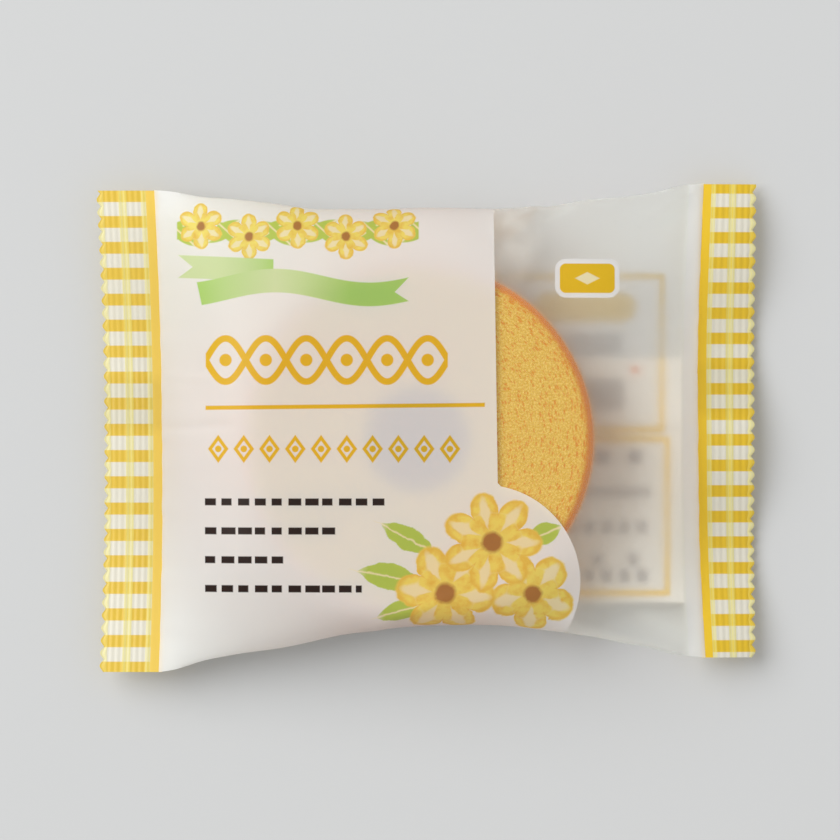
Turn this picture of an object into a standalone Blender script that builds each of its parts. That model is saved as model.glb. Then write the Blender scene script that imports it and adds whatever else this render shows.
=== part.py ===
"""A ring cake sealed in a flow-wrapped film pack that lies flat.

The pack is one closed solid. Its tube of film is drawn round the flat cake, swells out at the sides and
narrows to a ribbed, crimped seal with a zigzag cut edge at each end. X runs from seal to seal, Y across
the pack and Z up from the surface that it lies on.
"""

import math

import bmesh
import bpy
import numpy as np

MM = 0.001

PACK_LENGTH = 160.0 * MM

# The cake that shapes the pack
CAKE_CENTRE_X = -2.4 * MM
CAKE_CENTRE_Y = -2.6 * MM
CAKE_RADIUS = 43.0 * MM
CAKE_THICKNESS = 25.0 * MM
CAKE_EDGE_ROUNDING = 1.5 * MM

# Outline of the film tube seen from above
FAR_SIDE_Y = 53.4 * MM
FAR_LEFT_RAMP_X = -30.0 * MM
FAR_LEFT_SLOPE = 0.120
FAR_RIGHT_RAMP_X = 27.0 * MM
FAR_RIGHT_SLOPE = 0.148
FAR_DENT_X = 30.0 * MM
FAR_DENT_DEPTH = 1.2 * MM
FAR_DENT_SPREAD = 5.0 * MM
NEAR_SIDE_Y = -47.2 * MM
NEAR_LEFT_RAMP_X = 2.0 * MM
NEAR_LEFT_SLOPE = 0.172
NEAR_RIGHT_RAMP_X = 22.0 * MM
NEAR_RIGHT_SLOPE = 0.189
RAMP_ROUNDING = 8.0 * MM

# How the film swells between the cake, its sides and its seals, as superellipse exponents
SIDE_ROUNDNESS = 1.9
SIDE_ROUNDNESS_GAIN = 0.25
CORNER_ROUNDNESS = 1.35
END_ROUNDNESS = 1.35
SEAL_FADE_POWER = 1.5

# The two end seals
SEAL_THICKNESS = 0.6 * MM
RIB_PITCH = 1.5 * MM
RIB_HEIGHT = 0.2 * MM
TOOTH_PITCH = 3.05 * MM
TOOTH_DEPTH = 0.95 * MM
TOOTH_TIP_WIDTH = 0.5 * MM
PLAIN_BAND = 2.2 * MM
WAVE_LENGTH = 50.0 * MM
WAVE_CENTRE_Y = -3.6 * MM
SEALS = {
    "left": {
        "side": -1,
        "line_x": -65.6 * MM,
        "edge_x": -0.5 * PACK_LENGTH,
        "far_y": 57.8 * MM,
        "near_y": -59.5 * MM,
        "height": 7.0 * MM,
        "inner_bow": 1.5 * MM,
        "outer_bow": 1.1 * MM,
        "outer_skew": 0.45 * MM,
        "corner_lift": 3.0 * MM,
        "wave_height": 0.5 * MM,
        "corner_droop": 0.5 * MM,
    },
    "right": {
        "side": 1,
        "line_x": 67.4 * MM,
        "edge_x": 0.5 * PACK_LENGTH,
        "far_y": 59.5 * MM,
        "near_y": -55.5 * MM,
        "height": 6.2 * MM,
        "inner_bow": 1.7 * MM,
        "outer_bow": 0.4 * MM,
        "outer_skew": 0.1 * MM,
        "corner_lift": 0.8 * MM,
        "wave_height": 2.1 * MM,
        "corner_droop": 2.0 * MM,
    },
}
SEAL_HALF_WIDTH = 59.5 * MM

# Resolution
POINTS_AROUND = 64
FLANK_SAMPLES = 40
BODY_SECTIONS = 36

FILM_COLOUR = (0.86, 0.84, 0.79, 1.0)
FILM_ROUGHNESS = 0.45


def clear_scene():
    for item in list(bpy.data.objects):
        bpy.data.objects.remove(item, do_unlink=True)


def ramp(distance):
    """Zero on the far side of nought and straight on the near side, with a rounded turn between."""
    return 0.5 * (distance + math.hypot(distance, RAMP_ROUNDING))


def side_edges(x):
    """Y of the film tube's far and near side at x."""
    far = FAR_SIDE_Y
    far += FAR_LEFT_SLOPE * ramp(FAR_LEFT_RAMP_X - x)
    far += FAR_RIGHT_SLOPE * ramp(x - FAR_RIGHT_RAMP_X)
    far -= FAR_DENT_DEPTH * math.exp(-(((x - FAR_DENT_X) / FAR_DENT_SPREAD) ** 2))
    near = NEAR_SIDE_Y
    near -= NEAR_LEFT_SLOPE * ramp(NEAR_LEFT_RAMP_X - x)
    near -= NEAR_RIGHT_SLOPE * ramp(x - NEAR_RIGHT_RAMP_X)
    return far, near


def fullness(x, seal):
    """Share of the cake's thickness that the film tube stands apart at x: 1 over the cake, 0 at a seal."""
    rim = CAKE_CENTRE_X + seal["side"] * (CAKE_RADIUS - CAKE_EDGE_ROUNDING)
    along = (x - rim) / (seal["line_x"] - rim)
    along = min(max(along, 0.0), 1.0)
    return (1.0 - along**END_ROUNDNESS) ** (1.0 / END_ROUNDNESS)


def cake_half_chord(x):
    """Half the width of the flat top of the cake at x."""
    radius = CAKE_RADIUS - CAKE_EDGE_ROUNDING
    inside = radius**2 - (x - CAKE_CENTRE_X) ** 2
    return math.sqrt(max(inside, 0.0))


def flank(start_y, edge_y, start_z, edge_z, roundness):
    """Superellipse quarter from the flat of the film out to the side edge."""
    angles = np.linspace(0.0, 0.5 * math.pi, FLANK_SAMPLES)
    outward = np.sin(angles) ** (2.0 / roundness)
    upward = np.cos(angles) ** (2.0 / roundness)
    return np.stack([start_y + (edge_y - start_y) * outward, edge_z + (start_z - edge_z) * upward], axis=1)


def evenly_along(outline, count):
    """Points spaced evenly along an open outline, with both of its ends."""
    steps = np.linalg.norm(np.diff(outline, axis=0), axis=1)
    along = np.concatenate([[0.0], np.cumsum(steps)])
    wanted = np.linspace(0.0, along[-1], count)
    return np.stack([np.interp(wanted, along, outline[:, 0]), np.interp(wanted, along, outline[:, 1])], axis=1)


def section(x, seal):
    """Points of the closed outline across the film tube at x, spaced evenly along the film.

    They run from the far side over the top to the near side, and back along the underside.
    """
    full = fullness(x, seal)
    thickness = SEAL_THICKNESS + (CAKE_THICKNESS - SEAL_THICKNESS) * full
    middle_z = seal["height"] + (0.5 * CAKE_THICKNESS - seal["height"]) * full
    side_roundness = SIDE_ROUNDNESS + SIDE_ROUNDNESS_GAIN * x / (0.5 * PACK_LENGTH)
    roundness = CORNER_ROUNDNESS + (side_roundness - CORNER_ROUNDNESS) * full
    far, near = side_edges(x)
    half_chord = cake_half_chord(x)
    halves = []
    for way in (1, -1):
        flat_z = middle_z + way * 0.5 * thickness
        edge_z = middle_z + way * 0.5 * SEAL_THICKNESS
        far_flank = flank(CAKE_CENTRE_Y + half_chord, far, flat_z, edge_z, roundness)
        near_flank = flank(CAKE_CENTRE_Y - half_chord, near, flat_z, edge_z, roundness)
        outline = np.concatenate([far_flank[::-1], near_flank])
        halves.append(evenly_along(outline, POINTS_AROUND // 2))
    top, bottom = halves
    return np.concatenate([top, bottom[::-1]])


def seal_lift(y, seal):
    """How far the wavy seal stands above or below its mean height at y."""
    across = y / SEAL_HALF_WIDTH
    wave = math.cos(2.0 * math.pi * (y - WAVE_CENTRE_Y) / WAVE_LENGTH)
    return seal["corner_lift"] * (across**2 - 0.5) + seal["wave_height"] * wave


def inward_bow(y, bow):
    """How far a seal's line is drawn in towards the cake at y, most at its middle."""
    return bow * (1.0 - (y / SEAL_HALF_WIDTH) ** 2)


def body_ring(x, seal):
    """World points of the film tube's section at x, with the seal's wave and bow fading into it."""
    share = (1.0 - fullness(x, seal)) ** SEAL_FADE_POWER
    ring = []
    for y, z in section(x, seal):
        bowed_x = x - seal["side"] * inward_bow(y, seal["inner_bow"]) * share
        ring.append((bowed_x, y, z + seal_lift(y, seal) * share))
    return ring


def seal_outline(seal):
    """Section points of the flat seal, with its own far and near ends."""
    tube_far, tube_near = side_edges(seal["line_x"])
    points = section(seal["line_x"], seal)
    stretch = (seal["far_y"] - seal["near_y"]) / (tube_far - tube_near)
    points[:, 0] = seal["near_y"] + (points[:, 0] - tube_near) * stretch
    return points


def seal_rings(seal):
    """Rings of the seal's crimped band out to its cut edge, one along each rib's crest and each valley."""
    width = abs(seal["edge_x"] - seal["line_x"])
    ribs = round((width - PLAIN_BAND) / RIB_PITCH)
    rings = []
    for step in range(2 * ribs + 1):
        share = (PLAIN_BAND + (width - PLAIN_BAND) * step / (2 * ribs)) / width
        rib = RIB_HEIGHT * (0.5 if step % 2 else -0.5)
        rings.append(seal_ring(seal, share, rib))
    return rings


def seal_ring(seal, share, rib):
    """One ring of the seal: share is 0 at its inner line and 1 at its cut edge."""
    ring = []
    for y, z in seal_outline(seal):
        bow = inward_bow(y, seal["inner_bow"] * (1.0 - share) + seal["outer_bow"] * share)
        skew = seal["outer_skew"] * (1.0 - y / SEAL_HALF_WIDTH) * share
        x = seal["line_x"] + (seal["edge_x"] - seal["line_x"]) * share
        droop = seal["corner_droop"] * (y / SEAL_HALF_WIDTH) ** 2 * share
        ring.append((x - seal["side"] * (bow + skew), y, z + seal_lift(y, seal) + rib - droop))
    return ring


def body_rings():
    """Rings of the film tube from the left seal's line to the right seal's, closer together near the seals."""
    left, right = SEALS["left"], SEALS["right"]
    rings = []
    for step in range(BODY_SECTIONS + 1):
        turn = math.pi * step / BODY_SECTIONS
        even = step / BODY_SECTIONS
        share = 0.5 * even + 0.25 * (1.0 - math.cos(turn))
        x = left["line_x"] + (right["line_x"] - left["line_x"]) * share
        rings.append(body_ring(x, left if x < CAKE_CENTRE_X else right))
    return rings


def tube_mesh(name, rings):
    """Closed mesh through rings of equal length, capped at both ends."""
    shape = bmesh.new()
    loops = [[shape.verts.new(point) for point in ring] for ring in rings]
    count = len(rings[0])
    for first, second in zip(loops, loops[1:]):
        for index in range(count):
            after = (index + 1) % count
            shape.faces.new((first[index], first[after], second[after], second[index]))
    cap_with_strip(shape, loops[0])
    cap_with_strip(shape, loops[-1])
    bmesh.ops.recalc_face_normals(shape, faces=shape.faces)
    mesh = bpy.data.meshes.new(name)
    shape.to_mesh(mesh)
    shape.free()
    mesh.shade_smooth()
    return mesh


def cap_with_strip(shape, loop):
    """Closes an end ring with a strip of faces between its upper and its lower points."""
    last = len(loop) - 1
    for index in range(len(loop) // 2 - 1):
        shape.faces.new((loop[index], loop[index + 1], loop[last - index - 1], loop[last - index]))


def edge_x(seal, y):
    """X of the teeth's tips at y."""
    bow = inward_bow(y, seal["outer_bow"])
    skew = seal["outer_skew"] * (1.0 - y / SEAL_HALF_WIDTH)
    return seal["edge_x"] - seal["side"] * (bow + skew)


def tooth_cutter(name, seal):
    """Prism with a zigzag side that cuts the seal's outer edge into teeth."""
    margin = 4.0 * MM
    start = seal["near_y"] - TOOTH_PITCH
    teeth = math.ceil((seal["far_y"] - start) / TOOTH_PITCH) + 1
    outline = []
    for tooth in range(teeth):
        root_y = start + tooth * TOOTH_PITCH
        tip_y = root_y + 0.5 * TOOTH_PITCH
        outline.append((edge_x(seal, root_y) - seal["side"] * TOOTH_DEPTH, root_y))
        outline.append((edge_x(seal, tip_y), tip_y - 0.5 * TOOTH_TIP_WIDTH))
        outline.append((edge_x(seal, tip_y), tip_y + 0.5 * TOOTH_TIP_WIDTH))
    outside = seal["edge_x"] + seal["side"] * margin
    outline.append((outside, outline[-1][1]))
    outline.append((outside, outline[0][1]))
    shape = bmesh.new()
    floor = [shape.verts.new((x, y, -margin)) for x, y in outline]
    base = shape.faces.new(floor)
    raised = bmesh.ops.extrude_face_region(shape, geom=[base])
    moved = [item for item in raised["geom"] if isinstance(item, bmesh.types.BMVert)]
    bmesh.ops.translate(shape, verts=moved, vec=(0.0, 0.0, CAKE_THICKNESS + margin))
    bmesh.ops.recalc_face_normals(shape, faces=shape.faces)
    mesh = bpy.data.meshes.new(name)
    shape.to_mesh(mesh)
    shape.free()
    cutter = bpy.data.objects.new(name, mesh)
    cutter.hide_render = True
    cutter.display_type = "WIRE"
    bpy.context.collection.objects.link(cutter)
    return cutter


def film_material():
    material = bpy.data.materials.new("frosted film")
    material.use_nodes = True
    shader = material.node_tree.nodes["Principled BSDF"]
    shader.inputs["Base Color"].default_value = FILM_COLOUR
    shader.inputs["Roughness"].default_value = FILM_ROUGHNESS
    shader.inputs["Metallic"].default_value = 0.0
    return material


def build_pack():
    rings = seal_rings(SEALS["left"])[::-1] + body_rings() + seal_rings(SEALS["right"])
    pack = bpy.data.objects.new("film_pack", tube_mesh("film_pack", rings))
    pack.data.materials.append(film_material())
    bpy.context.collection.objects.link(pack)
    for side, seal in SEALS.items():
        cut = pack.modifiers.new(f"{side} teeth", "BOOLEAN")
        cut.operation = "DIFFERENCE"
        cut.solver = "EXACT"
        cut.object = tooth_cutter(f"{side}_tooth_cutter", seal)
    return pack


clear_scene()
build_pack()
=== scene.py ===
"""Looks of a ring cake sealed in a printed flow-wrap pack that lies flat.

The film is one tube with a crimped seal at each end. Its printed part and its clear window are two pieces cut
from the same grid of points, and the cake lies inside. X runs from seal to seal, Y across the pack and Z up.
Sizes are in metres, and patterns are drawn in millimetres, of object space or of a UV map.
"""

import math

import bpy
import numpy as np
from bpy.props import FloatProperty, FloatVectorProperty, PointerProperty
from bpy.types import Operator, Panel, PropertyGroup
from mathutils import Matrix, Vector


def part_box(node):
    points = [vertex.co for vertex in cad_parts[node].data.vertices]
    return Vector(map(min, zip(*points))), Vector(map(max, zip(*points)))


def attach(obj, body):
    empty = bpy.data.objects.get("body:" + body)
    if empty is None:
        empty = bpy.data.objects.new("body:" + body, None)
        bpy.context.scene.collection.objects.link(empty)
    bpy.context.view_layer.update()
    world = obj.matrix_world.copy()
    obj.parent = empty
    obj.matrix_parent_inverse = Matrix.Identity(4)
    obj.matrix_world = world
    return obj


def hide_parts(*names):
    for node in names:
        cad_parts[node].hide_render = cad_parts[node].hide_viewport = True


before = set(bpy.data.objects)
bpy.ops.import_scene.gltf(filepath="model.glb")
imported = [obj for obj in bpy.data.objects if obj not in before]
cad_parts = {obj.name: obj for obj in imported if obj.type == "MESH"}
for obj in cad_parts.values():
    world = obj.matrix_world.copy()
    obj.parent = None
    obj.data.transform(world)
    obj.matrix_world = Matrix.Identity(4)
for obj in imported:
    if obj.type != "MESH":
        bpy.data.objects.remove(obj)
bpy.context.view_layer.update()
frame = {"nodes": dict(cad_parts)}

bl_info = {
    "name": "Packed baumkuchen",
    "version": (1, 0, 0),
    "blender": (4, 5, 0),
    "location": "3D View > Sidebar > Baumkuchen",
    "description": "Film, print, crimped seals and ring cake of a flow-wrapped pack",
    "category": "Object",
}

MM = 0.001
NODE = "film_pack"
BODY = "root"
LOW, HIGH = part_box(NODE)
HALF_LENGTH = 0.5 * (HIGH.x - LOW.x)
PACK_THICKNESS = HIGH.z - LOW.z

# The cake that shapes the film. The film lies flat out to the edge rounding and keeps the gap from the cake,
# and the crust stays inside the radius by its shrink.
CAKE_CENTRE_X = -2.4 * MM
CAKE_CENTRE_Y = -2.6 * MM
CAKE_RADIUS = 43.0 * MM
CAKE_EDGE_ROUNDING = 1.5 * MM
CAKE_GAP = 0.2 * MM
DRAPED_GAP = 0.7 * CAKE_GAP
CRUST_ROUNDING = 3.0 * MM
CRUST_SHRINK = 0.2 * MM

# Outline of the film tube seen from above
FAR_SIDE_Y = 53.4 * MM
FAR_LEFT_RAMP_X = -30.0 * MM
FAR_LEFT_SLOPE = 0.120
FAR_RIGHT_RAMP_X = 27.0 * MM
FAR_RIGHT_SLOPE = 0.148
NEAR_SIDE_Y = -47.2 * MM
NEAR_LEFT_RAMP_X = -8.0 * MM
NEAR_LEFT_SLOPE = 0.215
NEAR_RIGHT_RAMP_X = 22.0 * MM
NEAR_RIGHT_SLOPE = 0.189
RAMP_ROUNDING = 8.0 * MM
# Swells and dents of the outline: X, height outward and spread in millimetres
FAR_SWELLS = ((-49.0, 1.1, 7.0), (-28.0, -1.3, 6.0), (30.0, -1.2, 5.0))
NEAR_SWELLS = ((-60.0, -0.6, 4.0), (-51.0, 0.3, 5.0))

# Superellipse exponents of the film's section and of its fall from the cake to a seal
SIDE_ROUNDNESS = 1.9
SIDE_ROUNDNESS_GAIN = 0.25
CORNER_ROUNDNESS = 1.35
END_ROUNDNESS = 1.35

# Powers by which a seal's bow and wave, and its width, fade along the tube towards the cake
SEAL_FADE_POWER = 1.5
SEAL_WIDTH_POWER = 6

# The two end seals. The line is where a seal's flat strip begins, and the edge is where it is cut. A bow
# draws them in towards the cake at their middles, and a skew slants them. Rows are those of the gingham.
WELD_THICKNESS = 0.36 * MM
WAVE_LENGTH = 50.0 * MM
WAVE_CENTRE_Y = -3.6 * MM
SEAL_HALF_WIDTH = 59.5 * MM
SEALS = {
    "left": {
        "side": -1,
        "line_x": -65.6 * MM,
        "edge_x": -HALF_LENGTH - 0.4 * MM,
        "far_y": 57.8 * MM,
        "near_y": -59.0 * MM,
        "height": 7.0 * MM,
        "inner_bow": 1.3 * MM,
        "inner_skew": 0.6 * MM,
        "outer_bow": 1.6 * MM,
        "outer_skew": 0.45 * MM,
        "corner_lift": 3.0 * MM,
        "wave_height": 0.5 * MM,
        "corner_droop": 0.5 * MM,
        "tilt": 0.2 * MM,
        "row_y": -0.32 * MM,
        "row_pitch": 6.35 * MM,
        "row_stretch": 0.001,
    },
    "right": {
        "side": 1,
        "line_x": 67.4 * MM,
        "edge_x": HALF_LENGTH,
        "far_y": 59.5 * MM,
        "near_y": -55.5 * MM,
        "height": 6.2 * MM,
        "inner_bow": 1.7 * MM,
        "inner_skew": -0.3 * MM,
        "outer_bow": 0.4 * MM,
        "outer_skew": 0.1 * MM,
        "corner_lift": 0.8 * MM,
        "wave_height": 2.1 * MM,
        "corner_droop": 2.0 * MM,
        "tilt": 1.3 * MM,
        "row_y": 3.44 * MM,
        "row_pitch": 6.17 * MM,
        "row_stretch": 0.0013,
    },
}

# The fin seal along the underside: its edges and ribs in millimetres, and its room and heights in metres
FIN_NEAR_Y = 0.4
FIN_FAR_Y = 12.6
FIN_SLOPE = 1.0
FIN_RIB_PITCH = 1.5
FIN_LANES = 17
FIN_ROOM = 0.2 * MM
FIN_THICKNESS = 0.14 * MM
FIN_GAP = 0.03 * MM
FIN_LOW = 0.16 * MM

# The cake's underside and top, inside the film
CAKE_LOW = 0.25 * MM + FIN_ROOM
CAKE_HIGH = PACK_THICKNESS - 1.2 * MM

# Where the clear window ends, in millimetres: the front print's edge with its round lobe, the plain strip by
# the right seal, the back print's edges, the flap folded over from the back, and the badge
WINDOW_LINE_X = 16.8
WINDOW_LINE_LEAN = 0.0144
LOBE_X = 13.33
LOBE_Y = -37.07
LOBE_RADIUS = 23.57
STRIP_WIDTH = 3.7
BACK_FAR_Y = 17.1
BACK_NEAR_Y = -42.2
FLAP_NEAR_Y = 45.7
FLAP_FAR_X = 20.4
FLAP_LEAN = 0.89
BADGE_X = 38.6
BADGE_Y = 36.2
BADGE_HALF_LENGTH = 7.8
BADGE_HALF_HEIGHT = 4.7
BADGE_CORNER = 2.6

# Cells, rounds of evening out and samples of the film, its seals and the cake
FILM_CELL = 0.8 * MM
FILM_RELAX_ROUNDS = 40
FILM_DRAPE_ROUNDS = 6
FILM_ROUND_ROUNDS = 10
FLANK_SAMPLES = 160
SEAL_CELL = 0.25 * MM
CELLS_PER_TOOTH = 8
CAKE_LANES = 560
CAKE_CELLS = (0.3 * MM, 0.9 * MM, 1.6 * MM, 1.6 * MM)
# Share of a cell within which a grid point slides onto the window's outline, just over half
SETTLE_REACH = 0.501
# Share of its length by which a steep step of the film counts for the print
STEEP_SHARE = 0.7

# Distances from a seal, in millimetres, over which the film's relief, its folds and its evening out fade
RELIEF_FADE = 10.0
FOLD_END_FADE = 3.0
ROUND_FADE = (3.0, 14.0)

# Angles past which an edge stays sharp
SHARP_ANGLE = math.radians(60.0)
NO_SHARP_ANGLE = math.radians(180.0)


def linear(red, green, blue):
    """A colour as it is seen, 0 to 255, in Blender's scene-linear numbers."""
    steps = (value / 255.0 for value in (red, green, blue))
    return tuple(step / 12.92 if step <= 0.04045 else ((step + 0.055) / 1.055) ** 2.4 for step in steps)


def size_property(name, description, default):
    return FloatProperty(name=name, description=description, default=default, unit="LENGTH", precision=5)


def share_property(name, description, default):
    return FloatProperty(name=name, description=description, default=default, min=0.0, max=1.0,
                         subtype="FACTOR")


def colour_property(name, description, default):
    return FloatVectorProperty(name=name, description=description, default=default, size=3, subtype="COLOR",
                               min=0.0, max=1.0)


class FilmSettings(PropertyGroup):
    thickness: size_property("Thickness", "Thickness of the film", 0.06 * MM)
    white: colour_property("White", "Colour of the white print", linear(244, 247, 247))
    glow: share_property("Glow", "Share of the light that passes the white print", 0.54)
    # The back's white is partly a cream ink and partly painted shade: darker and warmer than the front's
    # white
    back_shaded_white: colour_property("Back Shaded White", "Colour of the back's white print", linear(238, 235, 226))
    back_glow: share_property("Back Glow", "Share of the light that passes the back's white print", 0.3)
    roughness: share_property("Roughness", "Roughness of the printed film", 0.42)
    clear_roughness: share_property("Clear Roughness", "Roughness of the frosted window", 0.33)
    clear_ior: FloatProperty(name="Clear IOR", description="Refraction of the frosted window", default=1.3)
    haze: share_property("Haze", "Share of the light that the window scatters like milk", 0.08)


class PrintSettings(PropertyGroup):
    gold: colour_property("Gold", "Deep yellow of the ornaments and stripes", linear(240, 199, 36))
    ribbon_light: colour_property("Ribbon Light", "Light green of the ribbon", linear(216, 236, 182))
    ribbon_deep: colour_property("Ribbon Deep", "Deep green of the ribbon's folds", linear(180, 224, 122))
    dash: colour_property("Dash", "Dark brown of the rows of dashes", linear(42, 24, 15))
    petal: colour_property("Petal", "Yellow of the petals", linear(250, 234, 116))
    petal_light: colour_property("Petal Light", "Cream of the petals' highlights", linear(250, 242, 196))
    petal_deep: colour_property("Petal Deep", "Ochre of the petals' edges", linear(240, 202, 84))
    leaf: colour_property("Leaf", "Green of the leaves", linear(192, 216, 96))
    heart: colour_property("Heart", "Brown of the flowers' hearts", linear(182, 128, 66))
    grey: colour_property("Grey", "Grey of the small rows on the back", linear(140, 134, 134))
    frame: colour_property("Frame", "Yellow of the frames on the back", linear(242, 200, 64))
    dot: colour_property("Dot", "Red of the dot on the back", linear(245, 146, 92))


class SealSettings(PropertyGroup):
    rib_pitch: size_property("Rib Pitch", "Distance between the ribs of the crimp", 1.5 * MM)
    rib_height: size_property("Rib Height", "Height of the crimp from valley to crest", 0.13 * MM)
    tooth_pitch: size_property("Tooth Pitch", "Distance between the teeth of the cut edge", 3.05 * MM)
    tooth_depth: size_property("Tooth Depth", "Depth of the zigzag cut", 0.95 * MM)
    tooth_tip: size_property("Tooth Tip", "Width of a tooth's blunt tip", 0.5 * MM)
    plain_band: size_property("Plain Band", "Width of the seal's band without ribs", 2.2 * MM)
    glow: share_property("Glow", "Share of the light that passes a seal's two films", 0.34)
    stripe: colour_property("Stripe", "Yellow of the stripe along a seal's inner edge", linear(246, 205, 48))
    deep: colour_property("Deep", "Yellow where the gingham's rows and columns cross", linear(233, 195, 47))
    middle: colour_property("Middle", "Yellow of the gingham's rows between columns", linear(238, 212, 80))
    pale: colour_property("Pale", "Pale yellow between the gingham's white squares", linear(238, 230, 160))
    square: colour_property("Square", "White of the gingham's squares", linear(233, 230, 216))


class CakeSettings(PropertyGroup):
    hole_radius: size_property("Hole Radius", "Radius of the cake's hole", 12.2 * MM)
    edge_rounding: size_property("Edge Rounding", "Rounding of the cake's outer edges", CRUST_ROUNDING)
    pore_depth: size_property("Pore Depth", "Depth of the crumb's pores", 0.07 * MM)
    pore_size: size_property("Pore Size", "Width of the crumb's pores", 0.66 * MM)
    layer: size_property("Layer", "Thickness of one baked layer", 1.9 * MM)
    crumb: colour_property("Crumb", "Yellow of the crumb", linear(191, 146, 36))
    crumb_light: colour_property("Crumb Light", "Light grains of the crumb", linear(219, 187, 98))
    pore: colour_property("Pore", "Orange of the pores", linear(196, 116, 8))
    crust: colour_property("Crust", "Brown of the baked rim", linear(202, 116, 22))
    wall: colour_property("Wall", "Paler brown of the cake's side", linear(214, 140, 64))


class StageSettings(PropertyGroup):
    floor: colour_property("Floor", "Colour of the floor", linear(195, 196, 196))
    key_power: FloatProperty(name="Key Power", description="Power of the soft light", default=118.0,
                             unit="POWER")
    ambient: FloatProperty(name="Ambient", description="Strength of the pale surroundings", default=0.68)
    camera_height: size_property("Camera Height", "Height of the camera above the floor", 2.2)
    view_width: size_property("View Width", "Width of the view at the height of the seals", 203.6 * MM)
    view_x: size_property("View X", "X of the view's middle", -1.70 * MM)
    view_y: size_property("View Y", "Y of the view's middle", 2.06 * MM)


# Form of the film


def ramp(distance):
    """Close to zero below nought and close to the distance above it, with a rounded turn between."""
    return 0.5 * (distance + math.hypot(distance, RAMP_ROUNDING))


def swelling(x, swells):
    """How far the outline's swells and dents stand out together at x."""
    return sum(
        height * MM * math.exp(-(((x / MM - middle) / spread) ** 2))
        for middle, height, spread in swells
    )


def side_edges(x):
    """Y of the film tube's far and near side at x."""
    far = FAR_SIDE_Y
    far += FAR_LEFT_SLOPE * ramp(FAR_LEFT_RAMP_X - x)
    far += FAR_RIGHT_SLOPE * ramp(x - FAR_RIGHT_RAMP_X)
    far += swelling(x, FAR_SWELLS)
    near = NEAR_SIDE_Y
    near -= NEAR_LEFT_SLOPE * ramp(NEAR_LEFT_RAMP_X - x)
    near -= NEAR_RIGHT_SLOPE * ramp(x - NEAR_RIGHT_RAMP_X)
    near -= swelling(x, NEAR_SWELLS)
    return far, near


def fullness(x, seal):
    """Share of the pack's thickness that the film tube has at x: 1 over the cake and 0 at a seal."""
    rim = CAKE_CENTRE_X + seal["side"] * (CAKE_RADIUS - CAKE_EDGE_ROUNDING)
    along = min(max((x - rim) / (seal["line_x"] - rim), 0.0), 1.0)
    return (1.0 - along**END_ROUNDNESS) ** (1.0 / END_ROUNDNESS)


def flank(start_y, edge_y, start_z, edge_z, roundness):
    """Superellipse quarter from the flat of the film out to the side edge."""
    angles = np.linspace(0.0, 0.5 * math.pi, FLANK_SAMPLES)
    outward = np.sin(angles) ** (2.0 / roundness)
    upward = np.cos(angles) ** (2.0 / roundness)
    return np.stack([start_y + (edge_y - start_y) * outward, edge_z + (start_z - edge_z) * upward], axis=1)


def evenly_along(outline, count):
    """Points spaced evenly along an open outline, with both of its ends."""
    steps = np.linalg.norm(np.diff(outline, axis=0), axis=1)
    along = np.concatenate([[0.0], np.cumsum(steps)])
    wanted = np.linspace(0.0, along[-1], count)
    return np.stack([np.interp(wanted, along, outline[:, axis]) for axis in (0, 1)], axis=1)


def section(x, seal, count):
    """Closed outline across the tube at x, from the far side over the top and back along the underside."""
    full = fullness(x, seal)
    thickness = WELD_THICKNESS + (PACK_THICKNESS - WELD_THICKNESS) * full
    middle_z = seal["height"] + (0.5 * PACK_THICKNESS - seal["height"]) * full
    side_roundness = SIDE_ROUNDNESS + SIDE_ROUNDNESS_GAIN * x / HALF_LENGTH
    roundness = CORNER_ROUNDNESS + (side_roundness - CORNER_ROUNDNESS) * full
    far, near = side_edges(x)
    radius = CAKE_RADIUS - CAKE_EDGE_ROUNDING
    half_chord = math.sqrt(max(radius**2 - (x - CAKE_CENTRE_X) ** 2, 0.0))
    halves = []
    for way in (1, -1):
        flat_z = middle_z + way * 0.5 * thickness
        edge_z = middle_z + way * 0.5 * WELD_THICKNESS
        far_flank = flank(CAKE_CENTRE_Y + half_chord, far, flat_z, edge_z, roundness)
        near_flank = flank(CAKE_CENTRE_Y - half_chord, near, flat_z, edge_z, roundness)
        halves.append(evenly_along(np.concatenate([far_flank[::-1], near_flank]), count // 2))
    return np.concatenate([halves[0], halves[1][::-1]])


def seal_lift(y, seal):
    """How far the wavy seal stands above or below its mean height at y."""
    wave = np.cos(2.0 * math.pi * (y - WAVE_CENTRE_Y) / WAVE_LENGTH)
    return seal["corner_lift"] * ((y / SEAL_HALF_WIDTH) ** 2 - 0.5) + seal["wave_height"] * wave


def inward_bow(y, bow):
    """How far a seal's line is drawn in towards the cake at y, most at its middle."""
    return bow * (1.0 - (y / SEAL_HALF_WIDTH) ** 2)


def film_ring(x, count):
    """Points of the tube's section at x, with the seal's wave, bow and width fading into it."""
    seal = SEALS["left"] if x < CAKE_CENTRE_X else SEALS["right"]
    share = (1.0 - fullness(x, seal)) ** SEAL_FADE_POWER
    outline = section(x, seal, count)
    far, near = side_edges(x)
    y, z = outline[:, 0], outline[:, 1]
    welded_y = seal["near_y"] + (y - near) / (far - near) * (seal["far_y"] - seal["near_y"])
    y = y + (welded_y - y) * share**SEAL_WIDTH_POWER
    inward = inward_bow(y, seal["inner_bow"]) - seal["inner_skew"] * y / SEAL_HALF_WIDTH
    bowed_x = x - seal["side"] * inward * share
    return np.stack([bowed_x, y, z + seal_lift(y, seal) * share], axis=1)


def smooth_step(value, low, high):
    share = np.clip((value - low) / (high - low), 0.0, 1.0)
    return share * share * (3.0 - 2.0 * share)


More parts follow.
